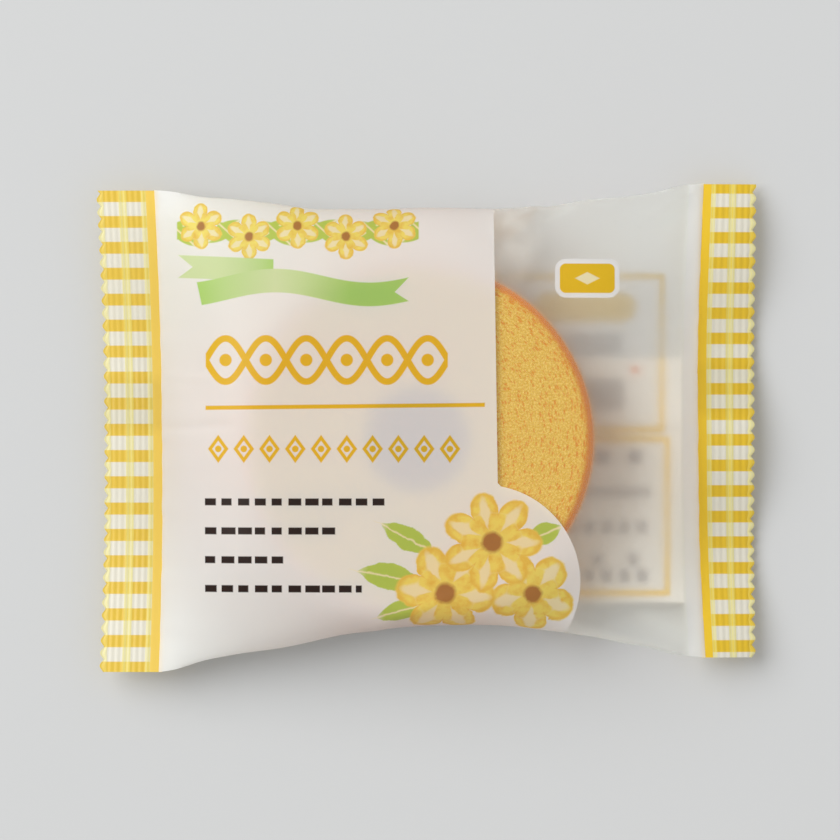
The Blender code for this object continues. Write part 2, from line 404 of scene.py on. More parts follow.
# Folds of the film: start, end, height and half width in millimetres, on the top side
FOLDS = (
    {"start": (-13.0, -47.5), "end": (8.0, -40.0), "height": 0.5, "width": 2.6},
    {"start": (-10.0, -47.5), "end": (3.0, -44.5), "height": -0.5, "width": 2.0},
    {"start": (17.0, 47.5), "end": (27.0, 53.0), "height": 0.8, "width": 2.6},
    {"start": (27.0, 50.0), "end": (34.0, 53.5), "height": -0.7, "width": 2.2},
    {"start": (52.0, 50.0), "end": (64.0, 57.0), "height": 0.9, "width": 3.0},
    {"start": (34.0, -46.0), "end": (50.0, -51.0), "height": 0.7, "width": 2.4},
    {"start": (-64.0, 0.0), "end": (-48.0, 0.8), "height": -0.45, "width": 1.6},
    {"start": (-64.0, 13.0), "end": (-52.0, 12.0), "height": 0.3, "width": 1.4},
    {"start": (-62.0, 52.0), "end": (-45.0, 42.0), "height": 0.5, "width": 3.0},
)
# How steeply a fold falls off sideways, and the share of its length over which each end fades
FOLD_STEEPNESS = 1.8
FOLD_POWER = 1.4
FOLD_FADE = 0.25
# Puckers that run out of a seal: height, reach and plain edge in millimetres, and their waves along Y with
# millimetres for each radian
PUCKER_HEIGHT = 0.10
PUCKER_REACH = 6.5
PUCKER_START = 1.2
PUCKER_WAVES = (
    {"weight": 1.0, "run": 1.55, "phase": 0.0, "side_phase": 0.6},
    {"weight": 0.7, "run": 0.92, "phase": 1.9, "side_phase": 0.0},
    {"weight": 0.6, "run": 3.3, "phase": -0.7, "side_phase": 0.0},
)
# Slow swells of the loose film: height and distance from the cake in millimetres, and two slanting waves with
# millimetres in X and in Y for each radian, and a phase
LOOSE_HEIGHT = 0.28
LOOSE_REACH = 9.0
LOOSE_WAVES = ((5.1, 9.0, 0.0), (-11.0, 6.3, 1.1))


def fold_relief(x, y, fold):
    """Height of one fold, a ridge or a valley that fades towards its two ends."""
    start, end = np.array(fold["start"]), np.array(fold["end"])
    length = np.linalg.norm(end - start)
    along_x, along_y = (end - start) / length
    along = ((x - start[0]) * along_x + (y - start[1]) * along_y) / length
    across = np.abs((y - start[1]) * along_x - (x - start[0]) * along_y) / fold["width"]
    ridge = np.exp(-FOLD_STEEPNESS * across**FOLD_POWER)
    begun = fold["height"] * ridge * smooth_step(along, -FOLD_FADE, FOLD_FADE)
    return begun * smooth_step(1.0 - along, -FOLD_FADE, FOLD_FADE)


def pucker_relief(x, y):
    """Small puckers that run out of each seal and fade within some 12 mm."""
    relief = np.zeros_like(x)
    for seal in SEALS.values():
        gap = np.abs(x - seal["line_x"] / MM)
        waves = sum(
            wave["weight"] * np.cos(y / wave["run"] + wave["phase"] + wave["side_phase"] * seal["side"])
            for wave in PUCKER_WAVES
        )
        relief += PUCKER_HEIGHT * waves * np.exp(-gap / PUCKER_REACH) * (1.0 - np.exp(-gap / PUCKER_START))
    return relief


def loose_relief(x, y):
    """Slow swells of the film where it isn't stretched over the cake."""
    centre_gap = np.hypot(x - CAKE_CENTRE_X / MM, y - CAKE_CENTRE_Y / MM) - CAKE_RADIUS / MM
    loose = smooth_step(centre_gap, 0.0, LOOSE_REACH)
    waves = sum(np.cos(x / run_x + y / run_y + phase) for run_x, run_y, phase in LOOSE_WAVES)
    return LOOSE_HEIGHT * loose * waves


def clear_of_cake(points, top, gap):
    """Film points kept off the cake, over it on the top side and under it on the other."""
    reach = np.hypot(points[..., 0] - CAKE_CENTRE_X, points[..., 1] - CAKE_CENTRE_Y)
    turn = np.clip((reach - CAKE_RADIUS + CRUST_ROUNDING) / CRUST_ROUNDING, 0.0, 1.0)
    drop = CRUST_ROUNDING * (1.0 - np.sqrt(1.0 - turn**2))
    over = np.maximum(points[..., 2], CAKE_HIGH - drop + gap)
    under = np.minimum(points[..., 2], CAKE_LOW + drop - gap)
    points[..., 2] = np.where(turn < 1.0, np.where(top, over, under), points[..., 2])
    return points


def rolled_out(points, lane, way):
    """Y for a print on the film, counted both ways round each ring of points from the lane that is given.

    It is as seen from above where the film lies level, and rolled out flat where the film is steep.
    """
    middle = points.shape[1] // 2
    line = np.roll(points, middle - lane, axis=1)
    steps = np.diff(line, axis=1)
    lengths = np.maximum(np.abs(steps[..., 1]), STEEP_SHARE * np.linalg.norm(steps, axis=2))
    total = np.concatenate([np.zeros((len(points), 1)), np.cumsum(lengths, axis=1)], axis=1)
    y = line[:, middle, 1][:, None] + way * (total - total[:, middle][:, None])
    return np.roll(y, lane - middle, axis=1)


def film_points():
    """Grid of points over the outer side of the film: one ring for each column, from seal to seal.

    Each point has its place and the Y of the front and of the back print there. The second array tells which
    points are on the top side.
    """
    left, right = SEALS["left"]["line_x"], SEALS["right"]["line_x"]
    columns = round((right - left) / FILM_CELL)
    around = 2 * round((SEALS["right"]["far_y"] - SEALS["right"]["near_y"]) / FILM_CELL)
    points = np.array([film_ring(x, around) for x in np.linspace(left, right, columns + 1)])
    top = np.zeros(points.shape[:2], bool)
    top[:, : around // 2] = True
    points = clear_of_cake(relaxed(points, FILM_RELAX_ROUNDS), top, CAKE_GAP)
    points = relaxed_round(relaxed(points, FILM_DRAPE_ROUNDS), FILM_ROUND_ROUNDS)
    normals = grid_normals(points)
    x, y = points[..., 0] / MM, points[..., 1] / MM
    end_gap = np.minimum(x - left / MM, right / MM - x)
    relief = pucker_relief(x, y) + loose_relief(x, y) * smooth_step(end_gap, 0.0, RELIEF_FADE)
    for fold in FOLDS:
        relief += np.where(top, fold_relief(x, y, fold), 0.0) * smooth_step(end_gap, 0.0, FOLD_END_FADE)
    points = points + normals * relief[..., None] * MM
    under_fin = smooth_step(y, FIN_NEAR_Y - FIN_SLOPE, FIN_NEAR_Y)
    under_fin *= smooth_step(-y, -FIN_FAR_Y - FIN_SLOPE, -FIN_FAR_Y)
    points[..., 2] += np.where(top, 0.0, FIN_ROOM * under_fin)
    points = clear_of_cake(points, top, DRAPED_GAP)
    points[..., 2] = np.maximum(points[..., 2], 0.0)
    front_y = rolled_out(points, around // 4, -1.0)
    back_y = rolled_out(points, around - around // 4, 1.0)
    return np.concatenate([points, front_y[..., None], back_y[..., None]], axis=2), top


def relaxed(points, rounds):
    """Film points evened out with their neighbours along the pack, as tension does. Both ends stay."""
    for _ in range(rounds):
        points = points.copy()
        points[1:-1] = 0.25 * points[:-2] + 0.5 * points[1:-1] + 0.25 * points[2:]
    return points


def relaxed_round(points, rounds):
    """Film points evened out with their neighbours round the pack, less towards both of its ends."""
    evened = points
    for _ in range(rounds):
        evened = 0.25 * np.roll(evened, 1, axis=1) + 0.5 * evened + 0.25 * np.roll(evened, -1, axis=1)
    column = np.arange(len(points))
    end_gap = np.minimum(column, column[::-1]) * FILM_CELL / MM
    share = smooth_step(end_gap, *ROUND_FADE)[:, None, None]
    return points + (evened - points) * share


def grid_normals(points):
    """Outward directions of a grid of closed rings."""
    along = np.gradient(points, axis=0)
    around = np.roll(points, -1, 1) - np.roll(points, 1, 1)
    normals = np.cross(around, along)
    return normals / np.linalg.norm(normals, axis=2, keepdims=True)


def window_field(points, top):
    """Distance in millimetres into the clear window, below zero on printed film."""
    x, y = points[..., 0] / MM, points[..., 1] / MM
    line = x - (WINDOW_LINE_X - WINDOW_LINE_LEAN * y)
    strip_x = SEALS["right"]["line_x"] - inward_bow(points[..., 1], SEALS["right"]["inner_bow"])
    strip = strip_x / MM - STRIP_WIDTH - x
    lobe = np.hypot(x - LOBE_X, points[..., 3] / MM - LOBE_Y) - LOBE_RADIUS
    inner_x = np.maximum(np.abs(x - BADGE_X) - (BADGE_HALF_LENGTH - BADGE_CORNER), 0.0)
    inner_y = np.maximum(np.abs(y - BADGE_Y) - (BADGE_HALF_HEIGHT - BADGE_CORNER), 0.0)
    badge = np.hypot(inner_x, inner_y) - BADGE_CORNER
    back = np.maximum(y - BACK_FAR_Y, BACK_NEAR_Y - y)
    flap = np.maximum(FLAP_NEAR_Y - y, x - FLAP_FAR_X - FLAP_LEAN * (y - FLAP_NEAR_Y))
    above = np.minimum(np.minimum(line, lobe), badge)
    below = np.minimum(np.minimum(np.minimum(line, lobe), back), flap)
    return np.minimum(np.where(top, above, below), strip)


def settle_on_outline(points, field):
    """Slides grid points less than half a cell away from the outline field = 0 onto it, along the grid."""
    nearest = np.full(field.shape, SETTLE_REACH)
    settled_points, settled_field = points.copy(), field.copy()
    for axis, step in ((0, 1), (0, -1), (1, 1), (1, -1)):
        next_field = np.roll(field, -step, axis)
        next_points = np.roll(points, -step, axis)
        crosses = field * next_field < 0.0
        if axis == 0:
            crosses[-1 if step == 1 else 0] = False
        share = np.where(crosses, field / np.where(crosses, field - next_field, 1.0), 1.0)
        closer = share < nearest
        nearest[closer] = share[closer]
        settled_points[closer] = (points + (next_points - points) * share[..., None])[closer]
        settled_field[closer] = 0.0
    return settled_points, settled_field


def outline_faces(field, side):
    """Faces of the grid of rings on one side of the outline: 1 for the window, -1 for the print."""
    columns, around = field.shape
    index = np.arange(columns * around).reshape(columns, around)
    corners = [index[:-1], np.roll(index, -1, 1)[:-1], np.roll(index, -1, 1)[1:], index[1:]]
    a, b, c, d = (corner.ravel() for corner in corners)
    signs = np.sign(field).ravel()
    faces = []
    split_ac = signs[b] * signs[d] < 0.0
    split_bd = signs[a] * signs[c] < 0.0
    whole = ~(split_ac | split_bd)
    inside = np.sign(signs[a] + signs[b] + signs[c] + signs[d])
    inside[inside == 0.0] = -1.0
    faces += np.stack([a, b, c, d], axis=1)[whole & (inside == side)].tolist()
    triangles = (
        (a, b, c, b, split_ac),
        (a, c, d, d, split_ac),
        (a, b, d, a, split_bd),
        (b, c, d, c, split_bd),
    )
    for first, second, third, free, split in triangles:
        faces += np.stack([first, second, third], axis=1)[split & (signs[free] == side)].tolist()
    return faces


def plain_mesh(name, points, faces):
    """Mesh of the faces with only the points that they use."""
    used, flat = np.unique(np.concatenate(faces), return_inverse=True)
    ends = np.cumsum([len(face) for face in faces])
    mesh = bpy.data.meshes.new(name)
    places = points.reshape(-1, points.shape[-1])[used]
    mesh.from_pydata(places[:, :3].tolist(), [], [part.tolist() for part in np.split(flat, ends[:-1])])
    return mesh, used


# Finishing a piece


def new_object(name, mesh):
    piece = bpy.data.objects.new(name, mesh)
    bpy.context.scene.collection.objects.link(piece)
    return piece


def apply_modifiers(piece, sharp_angle=SHARP_ANGLE):
    """Bakes the piece's modifiers into a plain, smoothly shaded mesh."""
    shape = bpy.data.meshes.new_from_object(piece.evaluated_get(bpy.context.evaluated_depsgraph_get()))
    piece.modifiers.clear()
    piece.data = shape
    shape.name = piece.name
    shape.shade_smooth()
    shape.set_sharp_from_angle(angle=sharp_angle)


def thicken(piece, thickness, offset):
    wall = piece.modifiers.new("film thickness", "SOLIDIFY")
    wall.thickness = thickness
    wall.offset = offset
    wall.use_rim = True


def join_pack(piece):
    """Makes the piece part of the pack: it rides on its body and stands in for its solid."""
    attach(piece, BODY)
    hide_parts(NODE)


# Nodes


def plug(tree, value, entry):
    """Feeds a socket from a field, a socket or a plain value."""
    if isinstance(value, Field):
        tree.links.new(value.socket, entry)
    elif isinstance(value, bpy.types.NodeSocket):
        tree.links.new(value, entry)
    elif hasattr(entry, "default_value") and entry.type == "RGBA":
        entry.default_value = (*value[:3], 1.0)
    else:
        entry.default_value = value


class Field:
    """A number that changes over a surface. Its sums and products add Math nodes to its tree."""

    def __init__(self, tree, socket):
        self.tree = tree
        self.socket = socket

    def math(self, operation, *values, clamp=False):
        node = self.tree.nodes.new("ShaderNodeMath")
        node.operation = operation
        node.use_clamp = clamp
        for entry, value in zip(node.inputs, (self, *values)):
            plug(self.tree, value, entry)
        return Field(self.tree, node.outputs[0])

    def __add__(self, other):
        return self.math("ADD", other)

    def __sub__(self, other):
        return self.math("SUBTRACT", other)

    def __mul__(self, other):
        return self.math("MULTIPLY", other)

    def __truediv__(self, other):
        return self.math("DIVIDE", other)

    def __pow__(self, other):
        return self.math("POWER", other)

    def __abs__(self):
        return self.math("ABSOLUTE")

    def least(self, other):
        return self.math("MINIMUM", other)

    def most(self, other):
        return self.math("MAXIMUM", other)

    def wrap(self, high, low):
        return self.math("WRAP", high, low)

    def cosine(self):
        return self.math("COSINE")

    def within(self, softness):
        """Mask that is 1 where this distance is below zero, with a soft edge."""
        return self.math("MULTIPLY_ADD", -1.0 / softness, 0.5, clamp=True)


def new_group(name, inputs, outputs):
    """Shader node group with named sockets. Gives its tree, its input sockets and its output node."""
    tree = bpy.data.node_groups.new(name, "ShaderNodeTree")
    kinds = {"colour": "NodeSocketColor", "value": "NodeSocketFloat", "vector": "NodeSocketVector"}
    for in_out, sockets in (("INPUT", inputs), ("OUTPUT", outputs)):
        for socket_name, kind in sockets.items():
            tree.interface.new_socket(name=socket_name, in_out=in_out, socket_type=kinds[kind])
    entry = tree.nodes.new("NodeGroupInput")
    entries = {}
    for socket_name, kind in inputs.items():
        socket = entry.outputs[socket_name]
        entries[socket_name] = Field(tree, socket) if kind == "value" else socket
    return tree, entries, tree.nodes.new("NodeGroupOutput")


def use_group(tree, name, values):
    """Places a group in a tree with its own values, and gives its outputs by name."""
    node = tree.nodes.new("ShaderNodeGroup")
    node.node_tree = bpy.data.node_groups[name]
    for socket_name, value in values.items():
        plug(tree, value, node.inputs[socket_name])
    return node.outputs


def mix_colours(tree, mask, under, over, blend="MIX"):
    node = tree.nodes.new("ShaderNodeMix")
    node.data_type = "RGBA"
    node.blend_type = blend
    plug(tree, mask, node.inputs["Factor"])
    plug(tree, under, node.inputs["A"])
    plug(tree, over, node.inputs["B"])
    return node.outputs["Result"]


def noise(tree, vector, scale, detail=2.0, roughness=0.5):
    node = tree.nodes.new("ShaderNodeTexNoise")
    tree.links.new(vector, node.inputs["Vector"])
    node.inputs["Scale"].default_value = scale
    node.inputs["Detail"].default_value = detail
    node.inputs["Roughness"].default_value = roughness
    return Field(tree, node.outputs["Fac"])


def join_vector(tree, x, y, z=0.0):
    node = tree.nodes.new("ShaderNodeCombineXYZ")
    for entry, value in zip(node.inputs, (x, y, z)):
        plug(tree, value, entry)
    return node.outputs["Vector"]


def length_of(x, y):
    return (x * x + y * y) ** 0.5


def box_gap(x, y, low_x, high_x, low_y, high_y):
    """Distance from a rectangle, below zero inside it."""
    gap_x = abs(x - 0.5 * (low_x + high_x)) - 0.5 * (high_x - low_x)
    gap_y = abs(y - 0.5 * (low_y + high_y)) - 0.5 * (high_y - low_y)
    return gap_x.most(gap_y)


def turned(x, y, angle):
    cosine, sine = math.cos(angle), math.sin(angle)
    return x * cosine + y * sine, y * cosine - x * sine


def build_position_group():
    """Object coordinates in millimetres."""
    tree, _, exit_node = new_group("millimetres", {}, {"Vector": "vector", "X": "value", "Y": "value"})
    place = tree.nodes.new("ShaderNodeTexCoord")
    scale = tree.nodes.new("ShaderNodeVectorMath")
    scale.operation = "SCALE"
    scale.inputs["Scale"].default_value = 1.0 / MM
    tree.links.new(place.outputs["Object"], scale.inputs[0])
    split = tree.nodes.new("ShaderNodeSeparateXYZ")
    tree.links.new(scale.outputs["Vector"], split.inputs[0])
    tree.links.new(scale.outputs["Vector"], exit_node.inputs["Vector"])
    for axis in "XY":
        tree.links.new(split.outputs[axis], exit_node.inputs[axis])


def place_on(tree):
    """X, Y and the whole position on a surface, in millimetres."""
    place = use_group(tree, "millimetres", {})
    return Field(tree, place["X"]), Field(tree, place["Y"]), place["Vector"]


def uv_on(tree, name):
    """X and Y of a named UV map."""
    place = tree.nodes.new("ShaderNodeUVMap")
    place.uv_map = name
    split = tree.nodes.new("ShaderNodeSeparateXYZ")
    tree.links.new(place.outputs["UV"], split.inputs[0])
    return Field(tree, split.outputs["X"]), Field(tree, split.outputs["Y"])


# Unevenness of the film: noises for each millimetre, and how strongly they change roughness and height
GRAIN_CLOUD_SCALE = 0.11
GRAIN_FINE_SCALE = 0.9
GRAIN_ROUGHNESS_SPREAD = 0.24
GRAIN_CLOUD_HEIGHT = 3.0


def build_film_grain_group():
    """Fine unevenness that all the film shares: roughness around a mean, and height in metres."""
    tree, entries, exit_node = new_group(
        "film grain",
        {"Vector": "vector", "Roughness": "value", "Height": "value"},
        {"Roughness": "value", "Height": "value"},
    )
    cloud = noise(tree, entries["Vector"], GRAIN_CLOUD_SCALE, detail=3.0)
    fine = noise(tree, entries["Vector"], GRAIN_FINE_SCALE, detail=2.0)
    spread = cloud * GRAIN_ROUGHNESS_SPREAD + (1.0 - 0.5 * GRAIN_ROUGHNESS_SPREAD)
    plug(tree, spread * entries["Roughness"], exit_node.inputs["Roughness"])
    plug(tree, (fine + cloud * GRAIN_CLOUD_HEIGHT) * entries["Height"], exit_node.inputs["Height"])


# Softness of printed edges in millimetres
FINE_EDGE = 0.2
LINE_EDGE = 0.22
CRISP_EDGE = 0.25
SOFT_EDGE = 0.3
# Shape of a flower in shares of its radius: notches between the petals, a light ray along each petal, a deep
# edge and a round heart
FLOWER = {
    "notch": 0.42,
    "notch_power": 0.6,
    "petal_edge": 0.05,
    "ray_reach": 0.6,
    "ray_taper": 2.2,
    "ray_power": 8.0,
    "ray_weight": 0.75,
    "ray_shift": 0.1,
    "ray_edge": 0.3,
    "rim_half": 0.05,
    "rim_edge": 0.09,
    "rim_strength": 0.75,
    "heart": 0.2,
    "heart_edge": 0.08,
}
LEAF_RIB_HALF = 0.2


def build_flower_group():
    """A round flower with broad petals, centred on nought."""
    tree, entries, exit_node = new_group(
        "flower",
        {"X": "value", "Y": "value", "Radius": "value", "Petals": "value", "Turn": "value"},
        {"Petals": "value", "Light": "value", "Edge": "value", "Heart": "value"},
    )
    x, y, radius = entries["X"], entries["Y"], entries["Radius"]
    reach = length_of(x, y) / radius
    angle = y.math("ARCTAN2", x) + entries["Turn"]
    lobe = abs((angle * (entries["Petals"] * 0.5)).cosine())
    rim = lobe ** FLOWER["notch_power"] * FLOWER["notch"] + (1.0 - FLOWER["notch"])
    inner = reach - rim
    plug(tree, inner.within(FLOWER["petal_edge"]), exit_node.inputs["Petals"])
    taper = abs(reach - FLOWER["ray_reach"]) * FLOWER["ray_taper"]
    ray = taper - lobe ** FLOWER["ray_power"] * FLOWER["ray_weight"] + FLOWER["ray_shift"]
    plug(tree, ray.within(FLOWER["ray_edge"]), exit_node.inputs["Light"])
    edge = abs(inner + FLOWER["rim_half"]) - FLOWER["rim_half"]
    plug(tree, edge.within(FLOWER["rim_edge"]), exit_node.inputs["Edge"])
    plug(tree, (reach - FLOWER["heart"]).within(FLOWER["heart_edge"]), exit_node.inputs["Heart"])


def build_leaf_group():
    """A pointed leaf along X from nought to its length, with a light midrib."""
    tree, entries, exit_node = new_group(
        "leaf",
        {"X": "value", "Y": "value", "Length": "value", "Width": "value"},
        {"Leaf": "value", "Rib": "value"},
    )
    along = entries["X"] / entries["Length"]
    belly = along * (along * -1.0 + 1.0) * 4.0
    gap = abs(entries["Y"]) - entries["Width"] * 0.5 * belly.most(0.0)
    inside = gap.most(abs(along - 0.5) - 0.5)
    plug(tree, inside.within(SOFT_EDGE), exit_node.inputs["Leaf"])
    plug(tree, (abs(entries["Y"]) - LEAF_RIB_HALF).within(SOFT_EDGE), exit_node.inputs["Rib"])


def add_flower(tree, under, x, y, flower, colours):
    shape = {"X": x - flower["x"], "Y": y - flower["y"], "Radius": flower["radius"]}
    outputs = use_group(tree, "flower", {**shape, "Petals": flower["petals"], "Turn": flower["turn"]})
    masks = {name: Field(tree, outputs[name]) for name in ("Petals", "Light", "Edge", "Heart")}
    rim = masks["Edge"] * FLOWER["rim_strength"]
    petals = mix_colours(tree, rim, colours["petal"], colours["petal_deep"])
    petals = mix_colours(tree, masks["Light"], petals, colours["petal_light"])
    petals = mix_colours(tree, masks["Heart"], petals, colours["heart"])
    return mix_colours(tree, masks["Petals"], under, petals)


def add_leaf(tree, under, x, y, leaf, colours):
    along, across = turned(x - leaf["x"], y - leaf["y"], math.radians(leaf["turn"]))
    shape = {"X": along, "Y": across, "Length": leaf["length"], "Width": leaf["width"]}
    masks = use_group(tree, "leaf", shape)
    green = mix_colours(tree, masks["Rib"], colours["leaf"], colours["petal_light"])
    return mix_colours(tree, masks["Leaf"], under, green)


# Design of the front print in millimetres, with turns in degrees for leaves and in radians for flowers
GARLAND = {"start_x": -60.5, "end_x": -2.0, "y": 47.6, "pitch": 11.7, "bob": 1.3}
GARLAND_FLOWER = {"x": 0.0, "y": 0.0, "radius": 5.6, "petals": 6.0, "turn": 0.5}
GARLAND_LEAVES = (
    {"x": -4.6, "y": -2.8, "turn": 34.0, "length": 10.0, "width": 3.8},
    {"x": 4.6, "y": -3.6, "turn": 138.0, "length": 9.0, "width": 3.2},
)
BOUQUET_LEAVES = (
    {"x": -1.0, "y": -37.0, "turn": 170.0, "length": 16.0, "width": 6.4},
    {"x": 2.0, "y": -30.0, "turn": 152.0, "length": 15.0, "width": 5.6},
    {"x": 24.0, "y": -27.0, "turn": 22.0, "length": 9.0, "width": 5.2},
    {"x": 0.0, "y": -42.0, "turn": 196.0, "length": 12.5, "width": 5.0},
)
BOUQUET_FLOWERS = (
    {"x": 25.4, "y": -39.8, "radius": 10.4, "petals": 5.0, "turn": 0.4},
    {"x": 4.4, "y": -39.6, "radius": 12.0, "petals": 6.0, "turn": 0.1},
    {"x": 15.6, "y": -27.4, "radius": 12.2, "petals": 7.0, "turn": 0.9},
)
RIBBON = {
    "centre_x": -36.6,
    "y": 33.95,
    "swing": 1.68,
    "length": 45.4,
    "half": 2.85,
    "start_x": -55.3,
    "start_lean": -0.22,
    "end_x": -4.4,
    "notch": 3.4,
    "shade": 0.055,
}
RIBBON_BACK = {
    "start_x": -60.2,
    "end_x": -37.0,
    "y": 39.2,
    "half": 2.75,
    "notch": 3.6,
    "lean": -0.05,
    "shade_power": 3.0,
}
RULE = {"start_x": -53.4, "end_x": 13.9, "y": 4.99, "lean": 0.0107, "half": 0.5}
BRAID = {"start_x": -53.4, "end_x": 5.0, "y": 16.5, "swing": 5.2, "length": 19.47, "stroke": 0.8, "eye": 1.5}
LOZENGES = {
    "start_x": -53.4,
    "end_x": 8.6,
    "y": -4.9,
    "pitch": 6.2,
    "half_x": 2.5,
    "half_y": 3.4,
    "stroke": 0.42,
    "dot": 0.8,
}
DASH_ROWS = (
    {"y": -17.66, "end_x": -9.6},
    {"y": -24.64, "end_x": -22.1},
    {"y": -31.61, "end_x": -34.2},
    {"y": -38.59, "end_x": -15.7},
)
DASH_START_X = -53.6
DASH_HALF_HEIGHT = 0.85
DASH_CELL = 4.05
# Each row of dashes lies in a band that has random numbers of its own
DASH_BANDS_Y = -14.2
DASH_BAND_PITCH = 6.98
# Share of its cell that a dash fills at least, and what its random number adds at most
DASH_LEAST = 0.6
DASH_SPREAD = 0.28
BADGE_BORDER = 1.15
BADGE_LOZENGE = {"flatness": 0.5, "half_height": 1.5}


def add_garland(tree, under, x, y, shift, colours):
    """A row of flowers that bob up and down, with leaves between them."""
    garland = GARLAND
    cell = (x - garland["start_x"]) / garland["pitch"]
    bob = (cell.math("FLOOR") * math.pi).cosine() * garland["bob"]
    level = y - garland["y"]
    flower_x = (cell.math("FRACT") - 0.5) * garland["pitch"] + shift
    leaf_x = ((cell + 0.5).math("FRACT") - 0.5) * garland["pitch"]
    surface = under
    for leaf in GARLAND_LEAVES:
        surface = add_leaf(tree, surface, leaf_x, level, leaf, colours)
    surface = add_flower(tree, surface, flower_x, level - bob, GARLAND_FLOWER, colours)
    middle_x = 0.5 * (garland["start_x"] + garland["end_x"])
    ends = abs(x - middle_x) - 0.5 * (garland["end_x"] - garland["start_x"])
    return mix_colours(tree, ends.within(SOFT_EDGE), under, surface)


def add_ribbon(tree, under, x, y, colours):
    """A plain green ribbon in two folds with swallow tails."""
    back = RIBBON_BACK
    fall = (x - back["start_x"]) * back["lean"]
    off_line = abs(y - back["y"] - fall)
    notch = (off_line * -1.0 + back["half"]) * (back["notch"] / back["half"])
    tail = notch - (x - back["start_x"])
    back_gap = (off_line - back["half"]).most(tail).most(x - back["end_x"])
    front = RIBBON
    wave = ((x - front["centre_x"]) * (2.0 * math.pi / front["length"])).cosine() * front["swing"]
    off_wave = abs(y - front["y"] - wave)
    end_notch = (off_wave * -1.0 + front["half"]) * (front["notch"] / front["half"])
    end_tail = end_notch + x - front["end_x"]
    start = (y - front["y"]) * front["start_lean"] + front["start_x"]
    front_gap = (off_wave - front["half"]).most(end_tail).most(start - x)
    shade = ((x - front["centre_x"]) * front["shade"]).math("ABSOLUTE", clamp=True)
    tone = mix_colours(tree, shade, colours["ribbon_light"], colours["ribbon_deep"])
    along = (x - back["start_x"]) / (back["end_x"] - back["start_x"])
    back_shade = along.math("POWER", back["shade_power"], clamp=True)
    back_tone = mix_colours(tree, back_shade, colours["ribbon_light"], colours["ribbon_deep"])
    surface = mix_colours(tree, back_gap.within(CRISP_EDGE), under, back_tone)
    return mix_colours(tree, front_gap.within(CRISP_EDGE), surface, tone)


def add_ornaments(tree, under, x, y, colours):
    """A rule, a braid above it and a row of lozenges below it, in gold."""
    rule = box_gap(x, y - (x - RULE["start_x"]) * RULE["lean"], RULE["start_x"], RULE["end_x"],
                   RULE["y"] - RULE["half"], RULE["y"] + RULE["half"])
    braid = BRAID
    level = y - braid["y"]
    phase = (x - braid["start_x"]) * (2.0 * math.pi / braid["length"])
    swing = phase.math("SINE") * braid["swing"]
    steep = abs(phase.cosine()) * (2.0 * math.pi * braid["swing"] / braid["length"])
    stretch = (steep * steep + 1.0) ** 0.5
    strand = abs(level - swing).least(abs(level + swing)) / stretch - braid["stroke"]
    quarter = 0.25 * braid["length"]
    eye_x = (x - braid["start_x"] - quarter).wrap(quarter, -quarter)
    eye = length_of(eye_x, level) - braid["eye"]
    ends = abs(x - 0.5 * (braid["start_x"] + braid["end_x"])) - 0.5 * (braid["end_x"] - braid["start_x"])
    braid_gap = strand.least(eye).most(ends)
    row = LOZENGES
    cell_x = (x - row["start_x"]).wrap(row["pitch"], 0.0) - 0.5 * row["pitch"]
    slope = math.hypot(1.0 / row["half_x"], 1.0 / row["half_y"])
    diamond = (abs(cell_x) / row["half_x"] + abs(y - row["y"]) / row["half_y"] - 1.0) / slope
    outline = abs(diamond + row["stroke"]) - row["stroke"]
    dot = length_of(cell_x, y - row["y"]) - row["dot"]
    row_ends = abs(x - 0.5 * (row["start_x"] + row["end_x"])) - 0.5 * (row["end_x"] - row["start_x"])
    row_gap = outline.least(dot).most(row_ends)
    gap = rule.least(braid_gap).least(row_gap)
    return mix_colours(tree, gap.within(LINE_EDGE), under, colours["gold"])


def add_dashes(tree, under, x, y, colours):
    """Rows of short dark dashes of uneven length."""
    gap = None
    for row in DASH_ROWS:
        row_gap = (abs(y - row["y"]) - DASH_HALF_HEIGHT).most(x - row["end_x"])
        gap = row_gap if gap is None else gap.least(row_gap)
    cell = (x - DASH_START_X) / DASH_CELL
    band = ((y - DASH_BANDS_Y) / DASH_BAND_PITCH).math("FLOOR")
    draw = tree.nodes.new("ShaderNodeTexWhiteNoise")
    tree.links.new(join_vector(tree, cell.math("FLOOR"), band), draw.inputs["Vector"])
    fill = Field(tree, draw.outputs["Value"]) * DASH_SPREAD + DASH_LEAST
    gap = gap.most((cell.math("FRACT") - fill) * DASH_CELL).most(x * -1.0 + DASH_START_X)
    return mix_colours(tree, gap.within(LINE_EDGE), under, colours["dash"])


def add_badge(tree, under, x, y, colours):
    """Yellow field of the badge inside its white border, with a plain lozenge."""
    corner = BADGE_CORNER - BADGE_BORDER
    out_x = (abs(x - BADGE_X) - (BADGE_HALF_LENGTH - BADGE_CORNER)).most(0.0)
    out_y = (abs(y - BADGE_Y) - (BADGE_HALF_HEIGHT - BADGE_CORNER)).most(0.0)
    field = mix_colours(tree, (length_of(out_x, out_y) - corner).within(FINE_EDGE), under, colours["gold"])
    level = abs(y - BADGE_Y) - BADGE_LOZENGE["half_height"]
    lozenge = abs(x - BADGE_X) * BADGE_LOZENGE["flatness"] + level
    return mix_colours(tree, lozenge.within(CRISP_EDGE), field, colours["petal_light"])


PRINT_COLOURS = ("gold", "ribbon_light", "ribbon_deep", "dash", "petal", "petal_light", "petal_deep", "leaf",
                 "heart", "grey", "frame", "dot")


def print_colours(settings):
    return {name: tuple(getattr(settings, name)) for name in PRINT_COLOURS}


# Brushed look of the flowers and leaves: noise for each millimetre, how far it shifts their outlines in
# millimetres, and where and how strongly it deepens the petals
WASH_SCALE = 0.45
WASH_SHIFT = 1.1
WASH_START = 0.42
WASH_CONTRAST = 3.0


